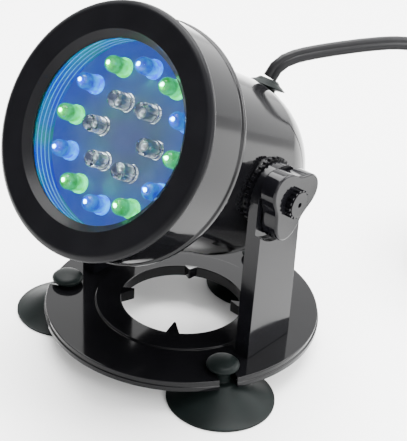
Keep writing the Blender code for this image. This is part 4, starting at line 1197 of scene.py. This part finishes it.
class POND_OT_leds(Operator):
    """Make the eighteen LEDs: twelve lit ones, green and blue by turns, and six clear ones"""
    bl_idname = "pond.leds"
    bl_label = "LEDs"

    def execute(self, context):
        led = context.scene.pond_leds
        glow_finish("green glow", (0.0, 0.50, 0.05), (0.0, 0.95, 0.30), 1.0 * led.glow)
        glow_finish("blue glow", (0.0, 0.06, 0.90), (0.0, 0.36, 1.0), 0.95 * led.glow)
        spark_finish("green spark", (0.45, 1.0, 0.70), 14.0 * led.glow)
        spark_finish("blue spark", (0.45, 0.85, 1.0), 14.0 * led.glow)
        tree = ring_tree()
        low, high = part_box("led_board")
        floor = (HEAD.inverted() @ ((low + high) / 2)).z + 0.0006 + SEAT_GAP
        place = HEAD @ Matrix.Translation((0, 0, floor))
        outer = [f"led_outer_{index:02d}" for index in range(1, 13)]
        inner = [f"led_inner_{index:02d}" for index in range(1, 7)]
        self.row(led, tree, place, "green", 0.0, outer[0::2])
        self.row(led, tree, place, "blue", pi / 6, outer[1::2])
        bodies = copies("clear", tree, self.body(led), 6, led.inner_ring, "clear epoxy", 0.0, place)
        finished("clear_leds", bodies, "clear epoxy", "head", inner, 50)
        leads = copies("leads", tree, self.leads(led), 6, led.inner_ring, "tinned leads", 0.0, place)
        finished("clear_led_leads", leads, "tinned leads", "head", (), 30)
        return {"FINISHED"}

    def row(self, led, tree, place, tint, turn, nodes):
        bodies = copies(tint, tree, self.body(led), 6, led.outer_ring, f"{tint} glow", turn, place)
        finished(f"{tint}_leds", bodies, f"{tint} glow", "head", nodes, 50)
        for index in range(6):
            self.lamp(led, place, f"{tint} lamp {index + 1}", turn + index * pi / 3, LAMP_TINTS[tint])
        # painted glint: a glowing bead at each LED's nose, not the chip itself
        sparks = copies("sparks", tree, self.spark(led), 6, led.outer_ring, f"{tint} spark", turn, place)
        finished(f"{tint}_led_chips", sparks, f"{tint} spark", "head", (), 50)

    def lamp(self, led, place, name, angle, tint):
        """The light that one LED throws on the board and the well."""
        data = bpy.data.lights.new(name, "POINT")
        data.color = tint
        data.energy = 0.010 * led.glow
        data.shadow_soft_size = 0.0004
        lamp = bpy.data.objects.new(name, data)
        bpy.context.scene.collection.objects.link(lamp)
        reach = led.outer_ring - 0.0004
        lamp.location = place @ Vector((reach * cos(angle), reach * sin(angle), led.height + 0.0004))

    def body(self, led):
        shoulder = led.height - led.radius
        angles = [index * pi / 16 for index in range(9)]
        nose = [(led.radius * cos(angle), shoulder + led.radius * sin(angle)) for angle in angles]
        nose[-1] = (0, led.height)
        flange, flange_top = led.radius + 0.0004, 0.001
        profile = [(0, 0), (flange, 0), (flange, flange_top), (led.radius, flange_top)] + nose
        return turned("led", profile[::-1], segments=24)

    def spark(self, led):
        """A painted glint: a glowing bead in the nose of each body stands for the bright point that the
        chip makes there.
        """
        nose = [(0.0007 * cos(a), 0.0005 * sin(a)) for a in (i * pi / 10 for i in range(6))]
        nose[-1] = (0, 0.0005)
        place = Matrix.Translation((0, 0, led.height - 0.0003))
        return turned("tip", (nose + [(0, -0.0004)])[::-1], place, 12)

    def leads(self, led):
        """The post and the anvil with its cup, inside a clear body."""
        thin = [(0.0003, -0.0003), (0.0008, -0.0003), (0.0008, 0.0003), (0.0003, 0.0003)]
        wide = [(-0.0012, -0.0005), (0.0, -0.0005), (0.0, 0.0005), (-0.0012, 0.0005)]
        post = prism("post", thin, 0.0002, 0.0042)
        anvil = prism("anvil", wide, 0.0002, 0.0036)
        bowl = [(0, 0.0040), (0.0006, 0.0047), (0.0009, 0.0047), (0.0009, 0.0036), (0, 0.0034)]
        cup = turned("cup", bowl, Matrix.Translation((-0.0006, 0, 0)), 16)
        return joined("leads", [post, anvil, cup])


class POND_OT_housings(Operator):
    """Make the front drum with its light well and the round-ended rear shell"""
    bl_idname = "pond.housings"
    bl_label = "Housings"

    def execute(self, context):
        head = context.scene.pond_head
        arm = context.scene.pond_arms
        finished("drum", self.drum(head), "glossy black plastic", "head",
                 ["front_housing"], 40)
        finished("light_well", self.well(head), "light well", "head", (), 40)
        finished("rear_shell", self.shell(head, arm), "glossy black plastic", "head",
                 ["rear_housing"], 40)
        return {"FINISHED"}

    def drum(self, head):
        """The outer wall, floor and groove for the front ring's skirt."""
        back, radius = head.drum_back, head.drum_radius
        front = head.bezel_face - head.bezel_depth - RUN_GAP
        groove = front + RUN_GAP - 0.0115
        bead = radius + 0.0005
        profile = [(radius, front), (radius, back + 0.0021), (bead, back + 0.0017), (bead, back + 0.0004),
                   (bead - 0.0004, back), (0.018, back), (0.018, back + 0.0015), (0.0310, back + 0.0015),
                   (0.0310, groove), (radius - SKIRT_INSET, groove), (radius - SKIRT_INSET, front)]
        return turned("drum", rounded(profile, 0.0003, 3), HEAD, 192)

    def well(self, head):
        """The pale wall that rings the board and reflects the LEDs' lamps; more of their light is painted
        on it as a glow by its finish.
        """
        low = head.drum_back + 0.0016
        high = head.bezel_face - LIP_THICKNESS - 0.0026 - 0.0013
        inside, outside, foot, shelf = 0.0285, 0.0309, 0.0264, low + 0.0013
        profile = [(inside, high), (outside, high), (outside, low), (foot, low), (foot, shelf),
                   (inside, shelf)]
        return turned("well", rounded(profile, 0.0002, 2), HEAD, 160)

    def shell(self, head, arm):
        """The barrel and its round end, with a flat boss on each side."""
        wall = 0.0022
        front = head.drum_back - 0.0011
        outside = self.dome(head.rear_radius, head.rear_end)
        inside = self.dome(head.rear_radius - wall, head.rear_end)[::-1]
        profile = inside + [(head.rear_radius - wall, front), (head.rear_radius - 0.0002, front),
                            (head.rear_radius, front - 0.0002)] + outside
        meshes = [turned("shell", profile, segments=160)]
        face = arm.inner - RUN_GAP - TOOTHED_RING_THICKNESS - SEAT_GAP
        bore, core, rim = 0.0034, 0.0056, 0.0098
        deep, shallow = head.rear_radius - 0.0085, head.rear_radius - 0.0035
        boss = [(bore, deep), (core, deep), (core, shallow), (rim, shallow), (rim, face), (bore, face)]
        for side in SIDES.values():
            meshes.append(turned("boss", rounded(boss, 0.0003, 3), about_x(side), 96))
        mesh = joined("shell", meshes)
        mesh.transform(HEAD)
        return mesh

    def dome(self, radius, end):
        angles = [i * pi / 2 / 32 for i in range(33)]
        points = [(radius * cos(a), -end - radius * sin(a)) for a in angles]
        points[-1] = (0.0, points[-1][1])
        return points


class POND_OT_grommet(Operator):
    """Make the umbrella grommet that seals the lead"""
    bl_idname = "pond.grommet"
    bl_label = "Grommet"

    def execute(self, context):
        head = context.scene.pond_head
        lead = context.scene.pond_lead
        place = HEAD @ Matrix.Translation((0, 0, -head.grommet_back)) @ Matrix.Rotation(-pi / 2, 4, "X")
        flange, bore = 0.0287, lead.width / 2 + 0.0002
        neck, root = 0.0033, flange - 0.0075
        profile = [(bore + 0.0004, GROMMET_TOP), (bore + 0.0010, GROMMET_TOP - 0.0004),
                   (0.0040, flange + 0.0016), (0.0052, flange + 0.0010),
                   (0.0063, flange + 0.0003), (0.0061, flange),
                   (neck, flange - 0.0004), (neck, root), (bore, root), (bore, GROMMET_TOP)]
        mesh = turned("grommet", rounded(profile, 0.0003, 3), place, 96)
        finished("lead_grommet", mesh, "dark cup rubber", "head", ["cable_grommet"], 50)
        return {"FINISHED"}


class POND_OT_inner(Operator):
    """Give the pieces that stay as they are their finishes: seals, screws, inserts, boards, wires, pins"""
    bl_idname = "pond.inner"
    bl_label = "Inner pieces"

    def execute(self, context):
        finishes = {"seam_gasket": "seal rubber", "lens_gasket": "seal rubber",
                    "led_board": "board lacquer", "driver_board": "driver board",
                    "bridge_rectifier": "chip package", "controller_chip": "chip package",
                    "smoothing_capacitor": "capacitor sleeve",
                    "wire_positive": "red wire", "wire_negative": "black wire"}
        for name in frame["nodes"]:
            if "screw" in name:
                finishes[name] = "stainless steel"
            if "insert" in name or "pin" in name:
                finishes[name] = "turned brass"
        for name, finish in finishes.items():
            mesh = frame["nodes"][name].data
            mesh.materials.clear()
            mesh.materials.append(material(finish))
        return {"FINISHED"}


# ---------------------------------------------------------------- add-on

GROUPS = {"pond_plate": PlateSizes, "pond_arms": ArmSizes, "pond_head": HeadSizes, "pond_leds": LedSizes,
          "pond_lead": LeadSizes, "pond_finishes": Finishes}
OPERATORS = (POND_OT_stage, POND_OT_lead, POND_OT_plate, POND_OT_cups, POND_OT_arms, POND_OT_knobs,
             POND_OT_bezel, POND_OT_lens, POND_OT_leds, POND_OT_housings, POND_OT_grommet, POND_OT_inner)


class POND_PT_panel(Panel):
    """Sizes of the pond light and buttons for its pieces"""
    bl_idname = "POND_PT_panel"
    bl_label = "Pond Light"
    bl_space_type = "VIEW_3D"
    bl_region_type = "UI"
    bl_category = "Pond Light"

    def draw(self, context):
        for key, group in GROUPS.items():
            box = self.layout.box()
            box.label(text=group.__doc__)
            for name in group.__annotations__:
                box.prop(getattr(context.scene, key), name)
        for operator in OPERATORS:
            self.layout.operator(operator.bl_idname)


def register():
    for item in (*GROUPS.values(), *OPERATORS, POND_PT_panel):
        bpy.utils.register_class(item)
    for key, group in GROUPS.items():
        setattr(bpy.types.Scene, key, PointerProperty(type=group))


def unregister():
    for key in GROUPS:
        delattr(bpy.types.Scene, key)
    for item in reversed((*GROUPS.values(), *OPERATORS, POND_PT_panel)):
        bpy.utils.unregister_class(item)


def main():
    register()
    make_finishes(bpy.context.scene.pond_finishes)
    for operator in OPERATORS:
        group, name = operator.bl_idname.split(".")
        getattr(getattr(bpy.ops, group), name)()
    bpy.context.view_layer.update()


if __name__ == "__main__":
    main()
